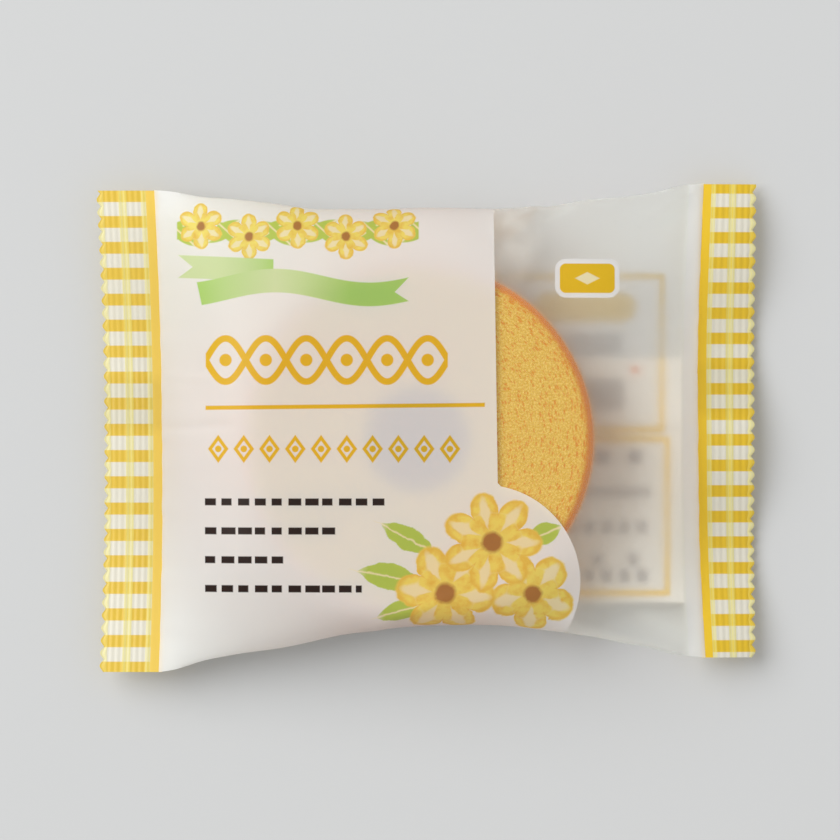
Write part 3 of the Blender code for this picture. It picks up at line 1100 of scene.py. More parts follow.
def build_front_print_group():
    """Everything that is printed over the white of the front, as one colour."""
    colours = {name: "colour" for name in PRINT_COLOURS}
    inputs = {"Vector": "vector", "X": "value", "Y": "value", "white": "colour", **colours}
    tree, entries, exit_node = new_group("front print", inputs, {"Colour": "colour"})
    x, y = entries["X"], entries["Y"]
    wash = noise(tree, entries["Vector"], WASH_SCALE, detail=3.0)
    shift = (wash - 0.5) * WASH_SHIFT
    paint_x, paint_y = x + shift, y + shift
    deep = ((wash - WASH_START) * WASH_CONTRAST).math("MAXIMUM", 0.0, clamp=True)
    tone = dict(entries)
    tone["petal"] = mix_colours(tree, deep, entries["petal"], entries["petal_deep"])
    surface = add_garland(tree, entries["white"], x, y, shift, tone)
    surface = add_ribbon(tree, surface, x, y, entries)
    surface = add_ornaments(tree, surface, x, y, entries)
    surface = add_dashes(tree, surface, x, y, entries)
    for leaf in BOUQUET_LEAVES:
        surface = add_leaf(tree, surface, paint_x, paint_y, leaf, tone)
    for flower in BOUQUET_FLOWERS:
        surface = add_flower(tree, surface, paint_x, paint_y, flower, tone)
    surface = add_badge(tree, surface, x, y, entries)
    plug(tree, surface, exit_node.inputs["Colour"])


# Design of the back print in millimetres, with fills and strengths as shares
BACK_FRAMES = (
    {"low_x": -58.0, "high_x": 57.7, "low_y": -0.9, "high_y": 37.6},
    {"low_x": -58.0, "high_x": 59.0, "low_y": -40.6, "high_y": -1.9},
)
BACK_FRAME_STROKE = 0.66
BACK_PILL = {"x": 38.4, "y": 29.5, "half_length": 12.4, "half_height": 3.6}
BACK_PILL_STRENGTH = 0.85
BACK_BLOCK_STRENGTH = 0.55
BACK_ROW_STRENGTH = 0.75
BACK_BLOCKS = (
    {"low_x": 33.0, "high_x": 47.4, "low_y": 17.9, "high_y": 23.2},
    {"low_x": 38.6, "high_x": 47.9, "low_y": 4.6, "high_y": 12.2},
)
BACK_ROWS = (
    {"y": -6.9, "half": 1.7, "cell": 7.9, "fill": 0.42},
    {"y": -15.5, "half": 1.3, "cell": 2.3, "fill": 0.7},
    {"y": -24.0, "half": 1.6, "cell": 4.3, "fill": 0.55},
    {"y": -31.8, "half": 1.4, "cell": 8.6, "fill": 0.26},
    {"y": -35.7, "half": 1.6, "cell": 4.3, "fill": 0.55},
)
BACK_ROW_END = 54.4
BACK_DOT = {"x": 50.7, "y": 14.2, "radius": 1.0}
CLEAR_INK_STRENGTH = 0.85


def build_back_print_group():
    """Frames, rows and blocks of the back print over its white."""
    colours = {name: "colour" for name in PRINT_COLOURS}
    inputs = {"X": "value", "Y": "value", "white": "colour", **colours}
    tree, entries, exit_node = new_group("back print", inputs, {"Colour": "colour"})
    x, y = entries["X"], entries["Y"]
    surface = entries["white"]
    for box in BACK_FRAMES:
        ring = abs(box_gap(x, y, **box) + BACK_FRAME_STROKE) - BACK_FRAME_STROKE
        surface = mix_colours(tree, ring.within(FINE_EDGE), surface, entries["frame"])
    pill_x = (abs(x - BACK_PILL["x"]) - (BACK_PILL["half_length"] - BACK_PILL["half_height"])).most(0.0)
    pill = (length_of(pill_x, y - BACK_PILL["y"]) - BACK_PILL["half_height"]).within(SOFT_EDGE)
    surface = mix_colours(tree, pill * BACK_PILL_STRENGTH, surface, entries["gold"])
    for box in BACK_BLOCKS:
        block = box_gap(x, y, **box).within(SOFT_EDGE)
        surface = mix_colours(tree, block * BACK_BLOCK_STRENGTH, surface, entries["grey"])
    gap = None
    for row in BACK_ROWS:
        cell = ((x - BACK_ROW_END) / row["cell"]).math("FRACT") - 0.5
        row_gap = (abs(y - row["y"]) - row["half"]).most((abs(cell) - row["fill"] * 0.5) * row["cell"])
        gap = row_gap if gap is None else gap.least(row_gap)
    gap = gap.most(abs(x) - BACK_ROW_END)
    surface = mix_colours(tree, gap.within(SOFT_EDGE) * BACK_ROW_STRENGTH, surface, entries["grey"])
    dot = length_of(x - BACK_DOT["x"], y - BACK_DOT["y"]) - BACK_DOT["radius"]
    surface = mix_colours(tree, dot.within(SOFT_EDGE), surface, entries["dot"])
    plug(tree, surface, exit_node.inputs["Colour"])


# Design of the gingham across a seal, in millimetres from its inner line
GINGHAM_WIDTH = 13.5
GINGHAM_COLUMNS = ((3.2, 6.6), (8.4, 12.0))
GINGHAM_STRIPE = 2.05
GINGHAM_STRIPE_EDGE = 0.15
GINGHAM_BORDER = 12.1
GINGHAM_BORDER_STRENGTH = 0.6
GINGHAM_THREAD_PITCH = 0.72
GINGHAM_THREAD_STRENGTH = 0.35
# Design of the gingham along a seal in shares of a row's pitch. Painted shade darkens the rows over the fin
# seal, and a painted sheen, a pale painted highlight, can lie over the whole print.
GINGHAM_ROW_HALF = 0.23
GINGHAM_ROW_EDGE = 0.035
GINGHAM_FIN = (0.0, 1.95)
GINGHAM_FIN_EDGE = 0.5
# Colour multiplied over the rows that lie over the fin seal, as painted shade
GINGHAM_FIN_SHADE = linear(245, 244, 238)
# Colour of the painted sheen
PAINTED_SHEEN_COLOUR = linear(250, 247, 226)


def build_gingham_group():
    """Woven check: rows counted along the seal, and columns in millimetres from its inner line."""
    inputs = {"Across": "value", "Along": "value", "Veil": "value", "white": "colour", "pale": "colour",
              "middle": "colour", "deep": "colour", "stripe": "colour"}
    tree, entries, exit_node = new_group("gingham", inputs, {"Colour": "colour"})
    across, along = entries["Across"], entries["Along"]
    row = (along + 0.5).math("FRACT") - 0.5
    row_mask = (abs(row) - GINGHAM_ROW_HALF).within(GINGHAM_ROW_EDGE)
    columns = None
    for low, high in GINGHAM_COLUMNS:
        gap = abs(across - 0.5 * (low + high)) - 0.5 * (high - low)
        columns = gap if columns is None else columns.least(gap)
    column_mask = columns.within(FINE_EDGE)
    threads = (across * (2.0 * math.pi / GINGHAM_THREAD_PITCH)).cosine() * 0.5 + 0.5
    threads = threads * GINGHAM_THREAD_STRENGTH
    pale = mix_colours(tree, threads, entries["pale"], entries["white"])
    yellow = mix_colours(tree, threads, entries["middle"], entries["pale"])
    border = (across * -1.0 + GINGHAM_BORDER).within(FINE_EDGE)
    yellow = mix_colours(tree, border * GINGHAM_BORDER_STRENGTH, yellow, entries["deep"])
    white_row = mix_colours(tree, column_mask, pale, entries["white"])
    yellow_row = mix_colours(tree, column_mask, yellow, entries["deep"])
    surface = mix_colours(tree, row_mask, white_row, yellow_row)
    stripe = (across - GINGHAM_STRIPE).within(GINGHAM_STRIPE_EDGE)
    surface = mix_colours(tree, stripe, surface, entries["stripe"])
    # Painted sheen: a pale highlight mixed over the print, twice as strong over the stripe
    painted_sheen = entries["Veil"] * (stripe + 1.0)
    surface = mix_colours(tree, painted_sheen, surface, PAINTED_SHEEN_COLOUR)
    # Painted shade over the rows that lie over the fin seal
    fin_middle, fin_half = 0.5 * sum(GINGHAM_FIN), 0.5 * (GINGHAM_FIN[1] - GINGHAM_FIN[0])
    fin = (abs(along - fin_middle) - fin_half).within(GINGHAM_FIN_EDGE)
    shaded = mix_colours(tree, 1.0, surface, GINGHAM_FIN_SHADE, "MULTIPLY")
    plug(tree, mix_colours(tree, fin, surface, shaded), exit_node.inputs["Colour"])


# Crumb of the cake, in millimetres and shares. Pores are drawn out along the ring by their stretch. They grow
# with a random draw for each, with the baked layers and in the ripe crumb, which is browner and lies near the
# rim. The grains' noise is shifted, so that they don't follow the patches.
PORE_STRETCH = 2.4
MEAN_RADIUS = 34.0
CRUMB = {
    "drift_scale": 0.12,
    "drift": 2.4,
    "grain_shift": 31.0,
    "grain_scale": 2.2,
    "grain_light": 0.54,
    "grain_edge": 0.22,
    "grain_strength": 0.72,
    "grain_height": 0.4,
    "pore_draw": 0.5,
    "pore_in_layer": 0.08,
    "pore_in_ripe": 0.22,
    "pore_least": -0.15,
    "pore_edge": 0.4,
    "pore_strength": 0.85,
    "patch_scale": 0.3,
    "patch_strength": 0.3,
    "ripe_depth": 6.5,
    "ripe_slope": 0.16,
    "ripe_browning": 0.12,
    "crust_depth": 2.3,
    "crust_waver": 0.7,
    "crust_slope": 0.8,
    "crust_share": 0.35,
}


def build_crumb_group():
    """Crumb of a layered ring cake in polar coordinates: colour and height in metres."""
    inputs = {"X": "value", "Y": "value", "Pore Size": "value", "Layer": "value", "Depth": "value",
              "crumb": "colour", "light": "colour", "pore": "colour", "crust": "colour"}
    tree, entries, exit_node = new_group("crumb", inputs, {"Colour": "colour", "Height": "value"})
    x = entries["X"] - CAKE_CENTRE_X / MM
    y = entries["Y"] - CAKE_CENTRE_Y / MM
    radius = length_of(x, y)
    angle = y.math("ARCTAN2", x)
    drift = noise(tree, join_vector(tree, x, y), CRUMB["drift_scale"], detail=2.0)
    bent_radius = radius + (drift - 0.5) * CRUMB["drift"]
    pore_size = entries["Pore Size"]
    polar = join_vector(tree, bent_radius / pore_size, angle * MEAN_RADIUS / (pore_size * PORE_STRETCH))
    cells = tree.nodes.new("ShaderNodeTexVoronoi")
    cells.voronoi_dimensions = "2D"
    cells.inputs["Scale"].default_value = 1.0
    tree.links.new(polar, cells.inputs["Vector"])
    draw = tree.nodes.new("ShaderNodeSeparateColor")
    tree.links.new(cells.outputs["Color"], draw.inputs["Color"])
    waver = noise(tree, polar, 1.0, detail=1.0, roughness=0.6)
    grains = noise(tree, join_vector(tree, x + CRUMB["grain_shift"], y), CRUMB["grain_scale"], detail=1.0)
    layer = ((bent_radius / entries["Layer"]) * (2.0 * math.pi)).cosine()
    past_ripe = radius - (CAKE_RADIUS / MM - CRUMB["ripe_depth"])
    ripe = past_ripe.math("MULTIPLY", CRUMB["ripe_slope"], clamp=True)
    pore_radius = Field(tree, draw.outputs["Red"]) * CRUMB["pore_draw"] + layer * CRUMB["pore_in_layer"]
    pore_radius = pore_radius + ripe * CRUMB["pore_in_ripe"] + CRUMB["pore_least"]
    pore_mask = (Field(tree, cells.outputs["Distance"]) - pore_radius).within(CRUMB["pore_edge"])
    light_mask = ((grains - CRUMB["grain_light"]) * -1.0).within(CRUMB["grain_edge"])
    patch = noise(tree, join_vector(tree, x, y), CRUMB["patch_scale"], detail=3.0)
    tone = mix_colours(tree, patch * CRUMB["patch_strength"], entries["crumb"], entries["light"])
    tone = mix_colours(tree, light_mask * CRUMB["grain_strength"], tone, entries["light"])
    tone = mix_colours(tree, pore_mask * CRUMB["pore_strength"], tone, entries["pore"])
    past_rim = radius + (waver - 0.5) * CRUMB["crust_waver"] - (CAKE_RADIUS / MM - CRUMB["crust_depth"])
    rim = past_rim.math("MULTIPLY_ADD", CRUMB["crust_slope"], CRUMB["crust_share"], clamp=True)
    rim = rim.most(ripe * CRUMB["ripe_browning"])
    plug(tree, mix_colours(tree, rim, tone, entries["crust"]), exit_node.inputs["Colour"])
    height = grains * CRUMB["grain_height"] - pore_mask
    plug(tree, height * entries["Depth"], exit_node.inputs["Height"])


# Materials


def new_material(name):
    """Material with an empty tree and an output node."""
    material = bpy.data.materials.new(name)
    material.use_nodes = True
    tree = material.node_tree
    tree.nodes.clear()
    return material, tree, tree.nodes.new("ShaderNodeOutputMaterial").inputs["Surface"]


def principled(tree, **values):
    node = tree.nodes.new("ShaderNodeBsdfPrincipled")
    for name, value in values.items():
        plug(tree, value, node.inputs[name.replace("_", " ")])
    return node


def add_bump(tree, height):
    node = tree.nodes.new("ShaderNodeBump")
    node.inputs["Distance"].default_value = 1.0
    plug(tree, height, node.inputs["Height"])
    return node.outputs["Normal"]


def mix_shaders(tree, factor, first, second):
    node = tree.nodes.new("ShaderNodeMixShader")
    plug(tree, factor, node.inputs[0])
    tree.links.new(first, node.inputs[1])
    tree.links.new(second, node.inputs[2])
    return node.outputs[0]


# Tint of the light that passes milky film, which scatters more of the blue back
PASSED_TINT = (1.0, 0.974, 0.955)
# Height of the film's fine unevenness, refraction of printed film, and roughness of the seals
GRAIN_HEIGHT = 0.004 * MM
PRINT_IOR = 1.46
SEAL_ROUGHNESS = 0.32


def printed_film(name, colour_maker, film, glow, roughness=None):
    """Milky film: each crossing scatters light once, half of it back and half of it on."""
    material, tree, surface = new_material(name)
    _, y, vector = place_on(tree)
    colour = colour_maker(tree, y, vector)
    unevenness = {"Vector": vector, "Roughness": roughness or film.roughness, "Height": GRAIN_HEIGHT}
    grain = use_group(tree, "film grain", unevenness)
    normal = add_bump(tree, grain["Height"])
    gloss = principled(tree, Base_Color=colour, Roughness=grain["Roughness"], IOR=PRINT_IOR, Normal=normal)
    through = tree.nodes.new("ShaderNodeBsdfTranslucent")
    plug(tree, mix_colours(tree, 1.0, colour, PASSED_TINT, "MULTIPLY"), through.inputs["Color"])
    milk = mix_shaders(tree, glow, gloss.outputs[0], through.outputs[0])
    clear = tree.nodes.new("ShaderNodeBsdfTransparent")
    side = tree.nodes.new("ShaderNodeNewGeometry")
    tree.links.new(mix_shaders(tree, side.outputs["Backfacing"], milk, clear.outputs[0]), surface)
    return material


def front_material(context):
    film, ink = context.scene.pack_film, context.scene.pack_print

    def colour(tree, _, vector):
        x, y = uv_on(tree, "print")
        values = {"Vector": vector, "X": x, "Y": y, "white": tuple(film.white), **print_colours(ink)}
        return use_group(tree, "front print", values)["Colour"]

    return printed_film("front print", colour, film, film.glow)


def back_material(context):
    film, ink = context.scene.pack_film, context.scene.pack_print

    def colour(tree, *_):
        x, y = uv_on(tree, "print")
        # The back's white carries painted shade of the pack's inside
        values = {"X": x, "Y": y, "white": tuple(film.back_shaded_white), **print_colours(ink)}
        return use_group(tree, "back print", values)["Colour"]

    return printed_film("back print", colour, film, film.back_glow)


# Share of painted sheen, a pale highlight, over the print of the left seal, which is nearer the light
LEFT_SEAL_PAINTED_SHEEN = 0.055


def seal_material(context):
    film, seal = context.scene.pack_film, context.scene.pack_seal

    def colour(tree, *_):
        x, _, _ = place_on(tree)
        across, along = uv_on(tree, "seal")
        # Painted sheen over the left seal only, where X is below nought
        values = {"Across": across, "Along": along, "Veil": x.within(1.0) * LEFT_SEAL_PAINTED_SHEEN,
                  "white": tuple(seal.square), "pale": tuple(seal.pale), "middle": tuple(seal.middle),
                  "deep": tuple(seal.deep), "stripe": tuple(seal.stripe)}
        return use_group(tree, "gingham", values)["Colour"]

    return printed_film("gingham film", colour, film, seal.glow, roughness=SEAL_ROUGHNESS)


# Painted shade in the valleys of the fin seal's ribs, which are drawn in colour only
FIN_PAINTED_SHADE = linear(214, 210, 203)
FIN_PAINTED_SHADE_STRENGTH = 0.2


def fin_material(context):
    film = context.scene.pack_film

    def colour(tree, y, _):
        # Painted shade: darker bands where the valleys of the ribs lie
        ribs = (y * (2.0 * math.pi / FIN_RIB_PITCH)).cosine() * 0.5 + 0.5
        return mix_colours(tree, ribs * FIN_PAINTED_SHADE_STRENGTH, tuple(film.white), FIN_PAINTED_SHADE)

    return printed_film("fin seal film", colour, film, film.glow)


# Tint of the light that passes the clear film, colour of its haze, and share of the haze that lets light on
CLEAR_TINT = (1.0, 1.0, 0.985)
HAZE_COLOUR = linear(241, 244, 240)
HAZE_GLOW = 0.6
# Share of haze where the film is seen edge on, and where it turns into the printed strip
EDGE_HAZE = 0.95
EDGE_HAZE_POWER = 2.0
STRIP_HAZE = 0.8
STRIP_HAZE_WIDTH = 1.5
# Share of the loose film's haze that is left where the film is tight over the cake
TIGHT_HAZE = 0.25
# Where the film leaves the cake's rim and starts to blur what lies below, in millimetres
LOOSE_DEPTH = 2.2
LOOSE_WIDTH = 1.8
# Whitened creases of the window: start, end and half width in millimetres, and share of haze. A crease keeps
# its full haze along the middle part of its length.
CREASE_CORE = 0.15
CREASES = (
    {"start": (48.0, -43.0), "end": (66.0, -52.5), "width": 4.0, "haze": 0.2},
    {"start": (34.0, -48.6), "end": (64.0, -55.0), "width": 1.8, "haze": 0.2},
    {"start": (54.0, 47.0), "end": (66.0, 56.0), "width": 4.0, "haze": 0.2},
    {"start": (28.0, 51.6), "end": (38.0, 53.8), "width": 1.0, "haze": 0.2},
    {"start": (15.0, 46.0), "end": (28.0, 40.0), "width": 12.0, "haze": 0.36},
    {"start": (16.5, 51.5), "end": (26.0, 47.0), "width": 5.0, "haze": 0.45},
)


def crease_haze(x, y):
    """Share of haze that the creases add to the window."""
    mask = None
    for crease in CREASES:
        (start_x, start_y), (end_x, end_y) = crease["start"], crease["end"]
        length = math.hypot(end_x - start_x, end_y - start_y)
        along, across = turned(x - start_x, y - start_y, math.atan2(end_y - start_y, end_x - start_x))
        past_core = (abs(along - 0.5 * length) - CREASE_CORE * length).most(0.0)
        past_core = past_core / ((0.5 - CREASE_CORE) * length)
        streak = length_of(across / crease["width"], past_core) * -1.0 + 1.0
        streak = streak.math("MAXIMUM", 0.0, clamp=True) ** 2.0 * crease["haze"]
        mask = streak if mask is None else mask.most(streak)
    return mask


def window_material(context, name, printed):
    """Frosted film: rough glass with a little haze. Rays for shadows and scattered light pass unchanged."""
    film, ink = context.scene.pack_film, context.scene.pack_print
    material, tree, surface = new_material(name)
    x, y, vector = place_on(tree)
    reach = length_of(x - CAKE_CENTRE_X / MM, y - CAKE_CENTRE_Y / MM)
    loose = ((reach - (CAKE_RADIUS / MM - LOOSE_DEPTH)) / LOOSE_WIDTH).math("MAXIMUM", 0.0, clamp=True)
    unevenness = {"Vector": vector, "Roughness": film.clear_roughness, "Height": 0.0}
    roughness = loose * use_group(tree, "film grain", unevenness)["Roughness"]
    tint = CLEAR_TINT
    if printed:
        print_x, print_y = uv_on(tree, "print")
        values = {"X": print_x, "Y": print_y, "white": tint, **print_colours(ink)}
        tint = mix_colours(tree, CLEAR_INK_STRENGTH, tint, use_group(tree, "back print", values)["Colour"])
    glass = principled(tree, Base_Color=tint, Roughness=roughness, IOR=film.clear_ior,
                       Transmission_Weight=1.0)
    milk = tree.nodes.new("ShaderNodeBsdfTranslucent")
    plug(tree, HAZE_COLOUR, milk.inputs["Color"])
    matt = tree.nodes.new("ShaderNodeBsdfDiffuse")
    plug(tree, HAZE_COLOUR, matt.inputs["Color"])
    haze = mix_shaders(tree, HAZE_GLOW, matt.outputs[0], milk.outputs[0])
    seal = SEALS["right"]
    side = y / (SEAL_HALF_WIDTH / MM)
    bow = side * side * -1.0 + 1.0
    strip = bow * (-seal["inner_bow"] / MM) - x + (seal["line_x"] / MM - STRIP_WIDTH)
    strip_share = (strip * (-1.0 / STRIP_HAZE_WIDTH) + 1.0).math("MAXIMUM", 0.0, clamp=True)
    edge = tree.nodes.new("ShaderNodeLayerWeight")
    share = Field(tree, edge.outputs["Facing"]) ** EDGE_HAZE_POWER * EDGE_HAZE
    share = share + (loose * (1.0 - TIGHT_HAZE) + TIGHT_HAZE) * film.haze
    share = (share + crease_haze(x, y)).most(strip_share * strip_share * STRIP_HAZE)
    film_body = mix_shaders(tree, share, glass.outputs[0], haze)
    clear = tree.nodes.new("ShaderNodeBsdfTransparent")
    rays = tree.nodes.new("ShaderNodeLightPath")
    passes = Field(tree, rays.outputs["Is Shadow Ray"]).most(rays.outputs["Is Diffuse Ray"])
    tree.links.new(mix_shaders(tree, passes, film_body, clear.outputs[0]), surface)
    return material


# Share of the pores' depth that the crumb's bump shows, as the mesh has pores of its own
BUMP_SHARE = 0.5


def crumb_material(context):
    cake = context.scene.pack_cake
    material, tree, surface = new_material("layered crumb")
    x, y, _ = place_on(tree)
    values = {"X": x, "Y": y, "Pore Size": cake.pore_size / MM, "Layer": cake.layer / MM,
              "Depth": BUMP_SHARE * cake.pore_depth, "crumb": tuple(cake.crumb),
              "light": tuple(cake.crumb_light), "pore": tuple(cake.pore), "crust": tuple(cake.crust)}
    crumb = use_group(tree, "crumb", values)
    normal = add_bump(tree, crumb["Height"])
    shader = principled(tree, Base_Color=crumb["Colour"], Roughness=0.82, Normal=normal)
    shader.inputs["Specular IOR Level"].default_value = 0.2
    tree.links.new(shader.outputs[0], surface)
    return material


# Patches and pores of the baked side: noises for each millimetre, strengths, and depth of the pores in metres
CRUST_PATCH_SCALE = 0.25
CRUST_PATCH_STRENGTH = 0.5
CRUST_PORE_SCALE = 2.2
CRUST_PORE_STRENGTH = 1.4
CRUST_PORE_DEPTH = 0.1 * MM


def crust_material(context):
    """Browned side of the cake, darker in patches and with fine pores."""
    cake = context.scene.pack_cake
    material, tree, surface = new_material("baked crust")
    _, _, vector = place_on(tree)
    patch = noise(tree, vector, CRUST_PATCH_SCALE, detail=4.0, roughness=0.6)
    pores = noise(tree, vector, CRUST_PORE_SCALE, detail=2.0)
    tone = mix_colours(tree, patch * CRUST_PATCH_STRENGTH, tuple(cake.wall), tuple(cake.crust))
    crests = (pores - 0.5).math("MULTIPLY", CRUST_PORE_STRENGTH, clamp=True)
    tone = mix_colours(tree, crests, tone, tuple(cake.crumb_light))
    normal = add_bump(tree, pores * CRUST_PORE_DEPTH)
    shader = principled(tree, Base_Color=tone, Roughness=0.75, Normal=normal)
    shader.inputs["Specular IOR Level"].default_value = 0.25
    tree.links.new(shader.outputs[0], surface)
    return material


# Slow clouds of the floor: noise for each millimetre, and how much darker they make it
FLOOR_CLOUD_SCALE = 0.004
FLOOR_CLOUD_SHADE = 0.985


def floor_material(context):
    material, tree, surface = new_material("pale floor")
    _, _, vector = place_on(tree)
    cloud = noise(tree, vector, FLOOR_CLOUD_SCALE, detail=2.0)
    colour = tuple(context.scene.pack_stage.floor)
    tone = mix_colours(tree, cloud, tuple(FLOOR_CLOUD_SHADE * part for part in colour), colour)
    shader = principled(tree, Base_Color=tone, Roughness=0.8)
    shader.inputs["Specular IOR Level"].default_value = 0.1
    tree.links.new(shader.outputs[0], surface)
    return material


# Geometry Nodes


def add_geometry_tree(name, inputs):
    """Geometry tree with named number inputs. Gives the tree, the input node and the output node."""
    tree = bpy.data.node_groups.new(name, "GeometryNodeTree")
    tree.interface.new_socket(name="Geometry", in_out="INPUT", socket_type="NodeSocketGeometry")
    for socket_name in inputs:
        tree.interface.new_socket(name=socket_name, in_out="INPUT", socket_type="NodeSocketFloat")
    tree.interface.new_socket(name="Material", in_out="INPUT", socket_type="NodeSocketMaterial")
    tree.interface.new_socket(name="Geometry", in_out="OUTPUT", socket_type="NodeSocketGeometry")
    return tree, tree.nodes.new("NodeGroupInput"), tree.nodes.new("NodeGroupOutput")


def finish_geometry_tree(tree, geometry, entry, exit_node):
    """Ends a geometry tree in plain geometry with its material."""
    realize = tree.nodes.new("GeometryNodeRealizeInstances")
    paint = tree.nodes.new("GeometryNodeSetMaterial")
    tree.links.new(geometry, realize.inputs["Geometry"])
    tree.links.new(realize.outputs["Geometry"], paint.inputs["Geometry"])
    tree.links.new(entry.outputs["Material"], paint.inputs["Material"])
    tree.links.new(paint.outputs["Geometry"], exit_node.inputs["Geometry"])


def named_number(tree, name):
    node = tree.nodes.new("GeometryNodeInputNamedAttribute")
    node.data_type = "FLOAT"
    node.inputs["Name"].default_value = name
    return Field(tree, node.outputs["Attribute"])


def move_points(tree, geometry, offset):
    node = tree.nodes.new("GeometryNodeSetPosition")
    tree.links.new(geometry, node.inputs["Geometry"])
    tree.links.new(offset, node.inputs["Offset"])
    return node.outputs["Geometry"]


def build_crimp_tree():
    """Crimps a flat strip: ribs along it past its plain band, and teeth along its cut edge."""
    names = ("Side", "Width", "Plain Band", "Rib Pitch", "Rib Height", "Tooth Pitch", "Tooth Depth",
             "Tooth Tip")
    tree, entry, exit_node = add_geometry_tree("crimped seal", names)
    size = {name: Field(tree, entry.outputs[name]) for name in names}
    across, along = named_number(tree, "across"), named_number(tree, "along")
    ribbed = (size["Plain Band"] - across) / size["Rib Pitch"] * 2.0
    fade = ribbed.within(1.0)
    rib = (((across - size["Plain Band"]) / size["Rib Pitch"]) * (2.0 * math.pi)).cosine()
    lift = rib * size["Rib Height"] * -0.5 * fade
    tooth = abs((along / size["Tooth Pitch"]).math("FRACT") - 0.5) * size["Tooth Pitch"]
    flank_width = (size["Tooth Pitch"] - size["Tooth Tip"]) * 0.5
    cut = ((tooth - size["Tooth Tip"] * 0.5) / flank_width).math("MAXIMUM", 0.0, clamp=True)
    reach = (across - size["Width"]) / (size["Tooth Depth"] * 2.0) + 1.0
    back = cut * size["Tooth Depth"] * reach.math("MAXIMUM", 0.0, clamp=True) * size["Side"] * -1.0
    moved = move_points(tree, entry.outputs["Geometry"], join_vector(tree, back, 0.0, lift))
    finish_geometry_tree(tree, moved, entry, exit_node)
    return tree


# How far above its mean the noise of the crumb's relief is cut level
RELIEF_CREST = 0.12


def build_crumb_relief_tree():
    """Roughens a ring cake: pores that are longer round the ring than across it."""
    names = ("Centre X", "Centre Y", "Pore Size", "Pore Depth", "Ring Radius")
    tree, entry, exit_node = add_geometry_tree("crumb relief", names)
    size = {name: Field(tree, entry.outputs[name]) for name in names}
    place = tree.nodes.new("GeometryNodeInputPosition")
    split = tree.nodes.new("ShaderNodeSeparateXYZ")
    tree.links.new(place.outputs["Position"], split.inputs[0])
    x = Field(tree, split.outputs["X"]) - size["Centre X"]
    y = Field(tree, split.outputs["Y"]) - size["Centre Y"]
    radius = length_of(x, y)
    angle = y.math("ARCTAN2", x)
    around = angle * size["Ring Radius"] / (size["Pore Size"] * PORE_STRETCH)
    height = Field(tree, split.outputs["Z"]) / size["Pore Size"]
    polar = join_vector(tree, radius / size["Pore Size"], around, height)
    pores = noise(tree, polar, 1.0, detail=2.0)
    depth = (pores - 0.5).least(RELIEF_CREST) * 2.0 * size["Pore Depth"]
    normal = tree.nodes.new("GeometryNodeInputNormal")
    push = tree.nodes.new("ShaderNodeVectorMath")
    push.operation = "SCALE"
    tree.links.new(normal.outputs["Normal"], push.inputs[0])
    plug(tree, depth, push.inputs["Scale"])
    moved = move_points(tree, entry.outputs["Geometry"], push.outputs["Vector"])
    finish_geometry_tree(tree, moved, entry, exit_node)
    return tree


def run_geometry_tree(piece, tree, values):
    """Adds the tree to the piece with its inputs set by their sockets' identifiers."""
    modifier = piece.modifiers.new(tree.name, "NODES")
    modifier.node_group = tree
    for item in tree.interface.items_tree:
        if item.item_type == "SOCKET" and item.in_out == "INPUT" and item.name in values:
            modifier[item.identifier] = values[item.name]


# Pieces


def film_piece(name, points, faces, top, materials, thickness):
    """One piece of the film as a thin closed shell."""
    mesh, used = plain_mesh(name, points, faces)
    for material in materials:
        mesh.materials.append(material)
    on_top = top.ravel()[used]
    front = np.array([any(on_top[index] for index in polygon.vertices) for polygon in mesh.polygons])
    mesh.polygons.foreach_set("material_index", np.where(front, 0, 1))
    corners = np.zeros(len(mesh.loops), int)
    mesh.loops.foreach_get("vertex_index", corners)
    sizes = [len(polygon.vertices) for polygon in mesh.polygons]
    places = points.reshape(-1, points.shape[-1])[used][corners] / MM
    print_y = np.where(np.repeat(front, sizes), places[:, 3], places[:, 4])
    layer = mesh.uv_layers.new(name="print")
    layer.data.foreach_set("uv", np.stack([places[:, 0], print_y], axis=1).ravel())
    piece = new_object(name, mesh)
    thicken(piece, thickness, -1.0)
    apply_modifiers(piece)
    join_pack(piece)


class PACK_OT_film(Operator):
    """Make the printed film and its clear window"""

    bl_idname = "pack.film"
    bl_label = "Film"

    def execute(self, context):
        points, top = film_points()
        points, field = settle_on_outline(points, window_field(points, top))
        thickness = context.scene.pack_film.thickness
        prints = [front_material(context), back_material(context)]
        film_piece("printed_film", points, outline_faces(field, -1), top, prints, thickness)
        windows = [
            window_material(context, "window film", False),
            window_material(context, "back window film", True),
        ]
        film_piece("film_window", points, outline_faces(field, 1), top, windows, thickness)
        return {"FINISHED"}


# How far a seal's strip reaches into the film tube, its thickness, and the power of its tilt to its edge
SEAL_TUCK = 0.8 * MM
SEAL_THICKNESS = 0.2 * MM
SEAL_TILT_POWER = 1.5


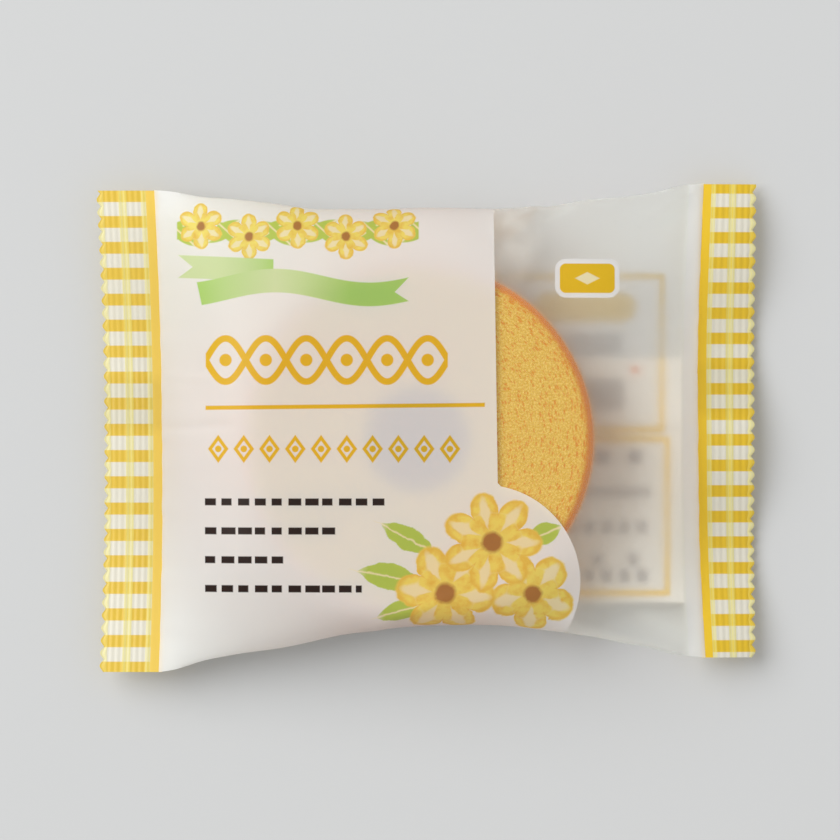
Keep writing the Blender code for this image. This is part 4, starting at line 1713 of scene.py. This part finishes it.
def seal_strip(name, seal, tooth_pitch):
    """Flat strip of a seal with its bow and wave, and the distances that its crimp follows."""
    width = abs(seal["edge_x"] - seal["line_x"])
    across = np.linspace(-SEAL_TUCK, width, round((width + SEAL_TUCK) / SEAL_CELL) + 1)
    step = tooth_pitch / CELLS_PER_TOOTH
    steps = math.floor((seal["far_y"] - seal["near_y"]) / step)
    along = np.linspace(seal["near_y"], seal["near_y"] + steps * step, steps + 1)
    reach, y = np.meshgrid(across, along, indexing="ij")
    share = np.clip(reach / width, 0.0, 1.0)
    bow = inward_bow(y, seal["inner_bow"] * (1.0 - share) + seal["outer_bow"] * share)
    skew = seal["outer_skew"] * (1.0 - y / SEAL_HALF_WIDTH) * share
    skew = skew - seal["inner_skew"] * y / SEAL_HALF_WIDTH * (1.0 - share)
    droop = seal["corner_droop"] * (y / SEAL_HALF_WIDTH) ** 2 * share
    x = seal["line_x"] + seal["side"] * (reach - bow - skew)
    z = seal["height"] + seal_lift(y, seal) - droop - seal["tilt"] * share**SEAL_TILT_POWER
    points = np.stack([x, y, z], axis=2)
    index = np.arange(points[..., 0].size).reshape(points.shape[:2])
    corners = [index[:-1, :-1], index[1:, :-1], index[1:, 1:], index[:-1, 1:]]
    if seal["side"] < 0:
        corners.reverse()
    mesh = bpy.data.meshes.new(name)
    faces = np.stack([corner.ravel() for corner in corners], axis=1)
    mesh.from_pydata(points.reshape(-1, 3).tolist(), [], faces.tolist())
    for attribute, values in (("across", reach), ("along", y - seal["near_y"])):
        layer = mesh.attributes.new(attribute, "FLOAT", "POINT")
        layer.data.foreach_set("value", values.ravel().astype(np.float32))
    layer = mesh.uv_layers.new(name="seal")
    corner_points = faces.ravel()
    pattern_x = (reach * (GINGHAM_WIDTH / width)).ravel()[corner_points]
    row = (y - seal["row_y"]) / seal["row_pitch"]
    row += seal["row_stretch"] * row**2
    layer.data.foreach_set("uv", np.stack([pattern_x, row.ravel()[corner_points]], axis=1).ravel())
    return mesh


class PACK_OT_seals(Operator):
    """Make the two crimped end seals"""

    bl_idname = "pack.seals"
    bl_label = "Seals"

    def execute(self, context):
        settings = context.scene.pack_seal
        tree = build_crimp_tree()
        material = seal_material(context)
        for side, seal in SEALS.items():
            name = f"seal_{side}"
            piece = new_object(name, seal_strip(name, seal, settings.tooth_pitch))
            run_geometry_tree(piece, tree, {
                "Side": float(seal["side"]),
                "Width": abs(seal["edge_x"] - seal["line_x"]),
                "Plain Band": settings.plain_band,
                "Rib Pitch": settings.rib_pitch,
                "Rib Height": settings.rib_height,
                "Tooth Pitch": settings.tooth_pitch,
                "Tooth Depth": settings.tooth_depth,
                "Tooth Tip": settings.tooth_tip,
                "Material": material,
            })
            thicken(piece, SEAL_THICKNESS, 0.0)
            apply_modifiers(piece)
            join_pack(piece)
        return {"FINISHED"}


class PACK_OT_fin(Operator):
    """Make the fin seal that is folded flat along the underside"""

    bl_idname = "pack.fin"
    bl_label = "Fin Seal"

    def execute(self, context):
        points, _ = film_points()
        half = points.shape[1] // 2
        lanes = np.linspace(FIN_NEAR_Y, FIN_FAR_Y, FIN_LANES) * MM
        strip = []
        for ring in points[::2]:
            under = ring[half:, :3]
            under = under[np.argsort(under[:, 1])]
            z = np.interp(lanes, under[:, 1], under[:, 2])
            x = np.interp(lanes, under[:, 1], under[:, 0])
            strip.append(np.stack([x, lanes, np.maximum(z - FIN_GAP, FIN_LOW)], axis=1))
        strip = np.array(strip)
        index = np.arange(strip[..., 0].size).reshape(strip.shape[:2])
        corners = [index[:-1, :-1], index[:-1, 1:], index[1:, 1:], index[1:, :-1]]
        faces = np.stack([corner.ravel() for corner in corners], axis=1)
        mesh = bpy.data.meshes.new("fin_seal")
        mesh.from_pydata(strip.reshape(-1, 3).tolist(), [], faces.tolist())
        mesh.materials.append(fin_material(context))
        piece = new_object("fin_seal", mesh)
        thicken(piece, FIN_THICKNESS, 1.0)
        apply_modifiers(piece)
        join_pack(piece)
        return {"FINISHED"}


# Rounding of the cake's hole, points of each rounded corner, and how far down from the top the crumb reaches
HOLE_ROUNDING = 1.2 * MM
CORNER_POINTS = 9
CRUMB_DROP = 1.4 * MM
# Unevenness of the ring: waves round it, share of its radius, and phase
CAKE_WAVES = ((3.0, 0.0016, 0.5), (7.0, 0.001, 0.0))


def cake_profile(settings):
    """Closed outline of the ring's section from its hole's top edge outwards, with close points on top."""
    inner, outer = settings.hole_radius, CAKE_RADIUS - CRUST_SHRINK
    rounding = settings.edge_rounding
    turn = np.linspace(0.0, 0.5 * math.pi, CORNER_POINTS)
    sine, cosine = np.sin(turn), np.cos(turn)
    corners = [
        (inner + HOLE_ROUNDING * (1.0 - cosine), CAKE_HIGH - HOLE_ROUNDING * (1.0 - sine)),
        (outer - rounding * (1.0 - sine), CAKE_HIGH - rounding * (1.0 - cosine)),
        (outer - rounding * (1.0 - cosine), CAKE_LOW + rounding * (1.0 - sine)),
        (inner + HOLE_ROUNDING * (1.0 - sine), CAKE_LOW + HOLE_ROUNDING * (1.0 - cosine)),
    ]
    corners = [np.stack(corner, axis=1) for corner in corners]
    outline = []
    for corner, following, cell in zip(corners, corners[1:] + corners[:1], CAKE_CELLS):
        start, end = corner[-1], following[0]
        count = round(np.linalg.norm(end - start) / cell)
        shares = np.arange(1, count)[:, None] / count
        outline += [corner, start + (end - start) * shares]
    return np.concatenate(outline)


class PACK_OT_cake(Operator):
    """Make the ring cake inside the film"""

    bl_idname = "pack.cake"
    bl_label = "Ring Cake"

    def execute(self, context):
        settings = context.scene.pack_cake
        profile = cake_profile(settings)
        angles = np.linspace(0.0, 2.0 * math.pi, CAKE_LANES, endpoint=False)
        wobble = np.ones_like(angles)
        for waves, height, phase in CAKE_WAVES:
            wobble += height * np.cos(waves * angles + phase)
        radius = profile[None, :, 0] * wobble[:, None]
        x = CAKE_CENTRE_X + radius * np.cos(angles)[:, None]
        y = CAKE_CENTRE_Y + radius * np.sin(angles)[:, None]
        z = np.broadcast_to(profile[None, :, 1], x.shape)
        points = np.stack([x, y, z], axis=2)
        index = np.arange(x.size).reshape(x.shape)
        after_ring, after_point = np.roll(index, -1, 0), np.roll(index, -1, 1)
        corners = [index, after_point, np.roll(after_point, -1, 0), after_ring]
        faces = np.stack([corner.ravel() for corner in corners], axis=1)
        mesh = bpy.data.meshes.new("ring_cake")
        mesh.from_pydata(points.reshape(-1, 3).tolist(), [], faces[:, ::-1].tolist())
        piece = new_object("ring_cake", mesh)
        run_geometry_tree(piece, build_crumb_relief_tree(), {
            "Centre X": CAKE_CENTRE_X,
            "Centre Y": CAKE_CENTRE_Y,
            "Pore Size": settings.pore_size,
            "Pore Depth": settings.pore_depth,
            "Ring Radius": MEAN_RADIUS * MM,
            "Material": crumb_material(context),
        })
        apply_modifiers(piece, NO_SHARP_ANGLE)
        piece.data.materials.append(crust_material(context))
        for polygon in piece.data.polygons:
            polygon.material_index = 0 if polygon.center.z > CAKE_HIGH - CRUMB_DROP else 1
        join_pack(piece)
        return {"FINISHED"}


# The floor: radius and height in metres, rings and sides. It lies just under the pack.
FLOOR_RADIUS = 3.0
FLOOR_Z = -0.02 * MM
FLOOR_RINGS = 12
FLOOR_SIDES = 64
# The soft light: size and distance in metres, angle from overhead and angle from +X in degrees
LIGHT_SIZE = 3.5
LIGHT_DISTANCE = 3.5
LIGHT_ZENITH = 46.0
LIGHT_BEARING = 149.0
# The camera: sensor in millimetres, and in metres the height where the view has its width and how far it sees
SENSOR_WIDTH = 36.0
VIEW_PLANE_Z = 8.0 * MM
VIEW_DEPTH = 100.0


class PACK_OT_stage(Operator):
    """Set the floor, the light and the camera"""

    bl_idname = "pack.stage"
    bl_label = "Stage"

    def execute(self, context):
        settings = context.scene.pack_stage
        self.add_floor(context)
        self.add_light(context, settings)
        self.add_surroundings(context, settings)
        self.add_camera(context, settings)
        return {"FINISHED"}

    def add_floor(self, context):
        points = [(0.0, 0.0, FLOOR_Z)]
        faces = []
        for ring in range(1, FLOOR_RINGS + 1):
            radius = FLOOR_RADIUS * ring / FLOOR_RINGS
            for side in range(FLOOR_SIDES):
                angle = 2.0 * math.pi * side / FLOOR_SIDES
                points.append((radius * math.cos(angle), radius * math.sin(angle), FLOOR_Z))
        for side in range(FLOOR_SIDES):
            after = (side + 1) % FLOOR_SIDES
            faces.append((0, 1 + side, 1 + after))
            for ring in range(FLOOR_RINGS - 1):
                inner = 1 + ring * FLOOR_SIDES
                outer = inner + FLOOR_SIDES
                faces.append((inner + side, outer + side, outer + after, inner + after))
        mesh = bpy.data.meshes.new("floor")
        mesh.from_pydata(points, [], faces)
        mesh.materials.append(floor_material(context))
        new_object("floor", mesh)

    def add_light(self, context, settings):
        light = bpy.data.lights.new("soft light", "AREA")
        light.shape = "DISK"
        light.size = LIGHT_SIZE
        light.energy = settings.key_power
        lamp = bpy.data.objects.new("soft light", light)
        zenith, bearing = math.radians(LIGHT_ZENITH), math.radians(LIGHT_BEARING)
        level = math.sin(zenith)
        toward = (level * math.cos(bearing), level * math.sin(bearing), math.cos(zenith))
        lamp.location = tuple(LIGHT_DISTANCE * part for part in toward)
        lamp.rotation_euler = (-lamp.location).to_track_quat("-Z", "Y").to_euler()
        context.scene.collection.objects.link(lamp)

    def add_surroundings(self, context, settings):
        world = bpy.data.worlds.new("pale surroundings")
        world.use_nodes = True
        sky = world.node_tree.nodes["Background"]
        sky.inputs["Color"].default_value = (1.0, 1.0, 1.0, 1.0)
        sky.inputs["Strength"].default_value = settings.ambient
        context.scene.world = world

    def add_camera(self, context, settings):
        camera = bpy.data.cameras.new("camera")
        view = bpy.data.objects.new("camera", camera)
        camera.sensor_width = SENSOR_WIDTH
        camera.lens = SENSOR_WIDTH * (settings.camera_height - VIEW_PLANE_Z) / settings.view_width
        camera.clip_end = VIEW_DEPTH
        view.location = (settings.view_x, settings.view_y, settings.camera_height)
        context.scene.collection.objects.link(view)
        context.scene.camera = view
        context.scene.view_settings.view_transform = "Standard"


class PACK_PT_panel(Panel):
    """Buttons and settings of the pack"""

    bl_idname = "PACK_PT_panel"
    bl_label = "Packed Baumkuchen"
    bl_space_type = "VIEW_3D"
    bl_region_type = "UI"
    bl_category = "Baumkuchen"

    def draw(self, context):
        for operator, groups in STEPS:
            self.layout.operator(operator.bl_idname)
            for group in groups:
                box = self.layout.box()
                for name in SETTINGS[group].__annotations__:
                    box.prop(getattr(context.scene, group), name)


SETTINGS = {
    "pack_film": FilmSettings,
    "pack_print": PrintSettings,
    "pack_seal": SealSettings,
    "pack_cake": CakeSettings,
    "pack_stage": StageSettings,
}
# Each operator with the groups of settings that stand under its button
STEPS = (
    (PACK_OT_film, ("pack_film", "pack_print")),
    (PACK_OT_seals, ("pack_seal",)),
    (PACK_OT_fin, ()),
    (PACK_OT_cake, ("pack_cake",)),
    (PACK_OT_stage, ("pack_stage",)),
)


def register():
    for group in SETTINGS.values():
        bpy.utils.register_class(group)
    for operator, _ in STEPS:
        bpy.utils.register_class(operator)
    bpy.utils.register_class(PACK_PT_panel)
    for name, group in SETTINGS.items():
        setattr(bpy.types.Scene, name, PointerProperty(type=group))


def unregister():
    for name in SETTINGS:
        delattr(bpy.types.Scene, name)
    bpy.utils.unregister_class(PACK_PT_panel)
    for operator, _ in reversed(STEPS):
        bpy.utils.unregister_class(operator)
    for group in SETTINGS.values():
        bpy.utils.unregister_class(group)


def build_groups():
    build_position_group()
    build_film_grain_group()
    build_flower_group()
    build_leaf_group()
    build_front_print_group()
    build_back_print_group()
    build_gingham_group()
    build_crumb_group()


def main():
    register()
    build_groups()
    bpy.ops.pack.stage()
    bpy.ops.pack.film()
    bpy.ops.pack.seals()
    bpy.ops.pack.fin()
    bpy.ops.pack.cake()


if __name__ == "__main__":
    main()
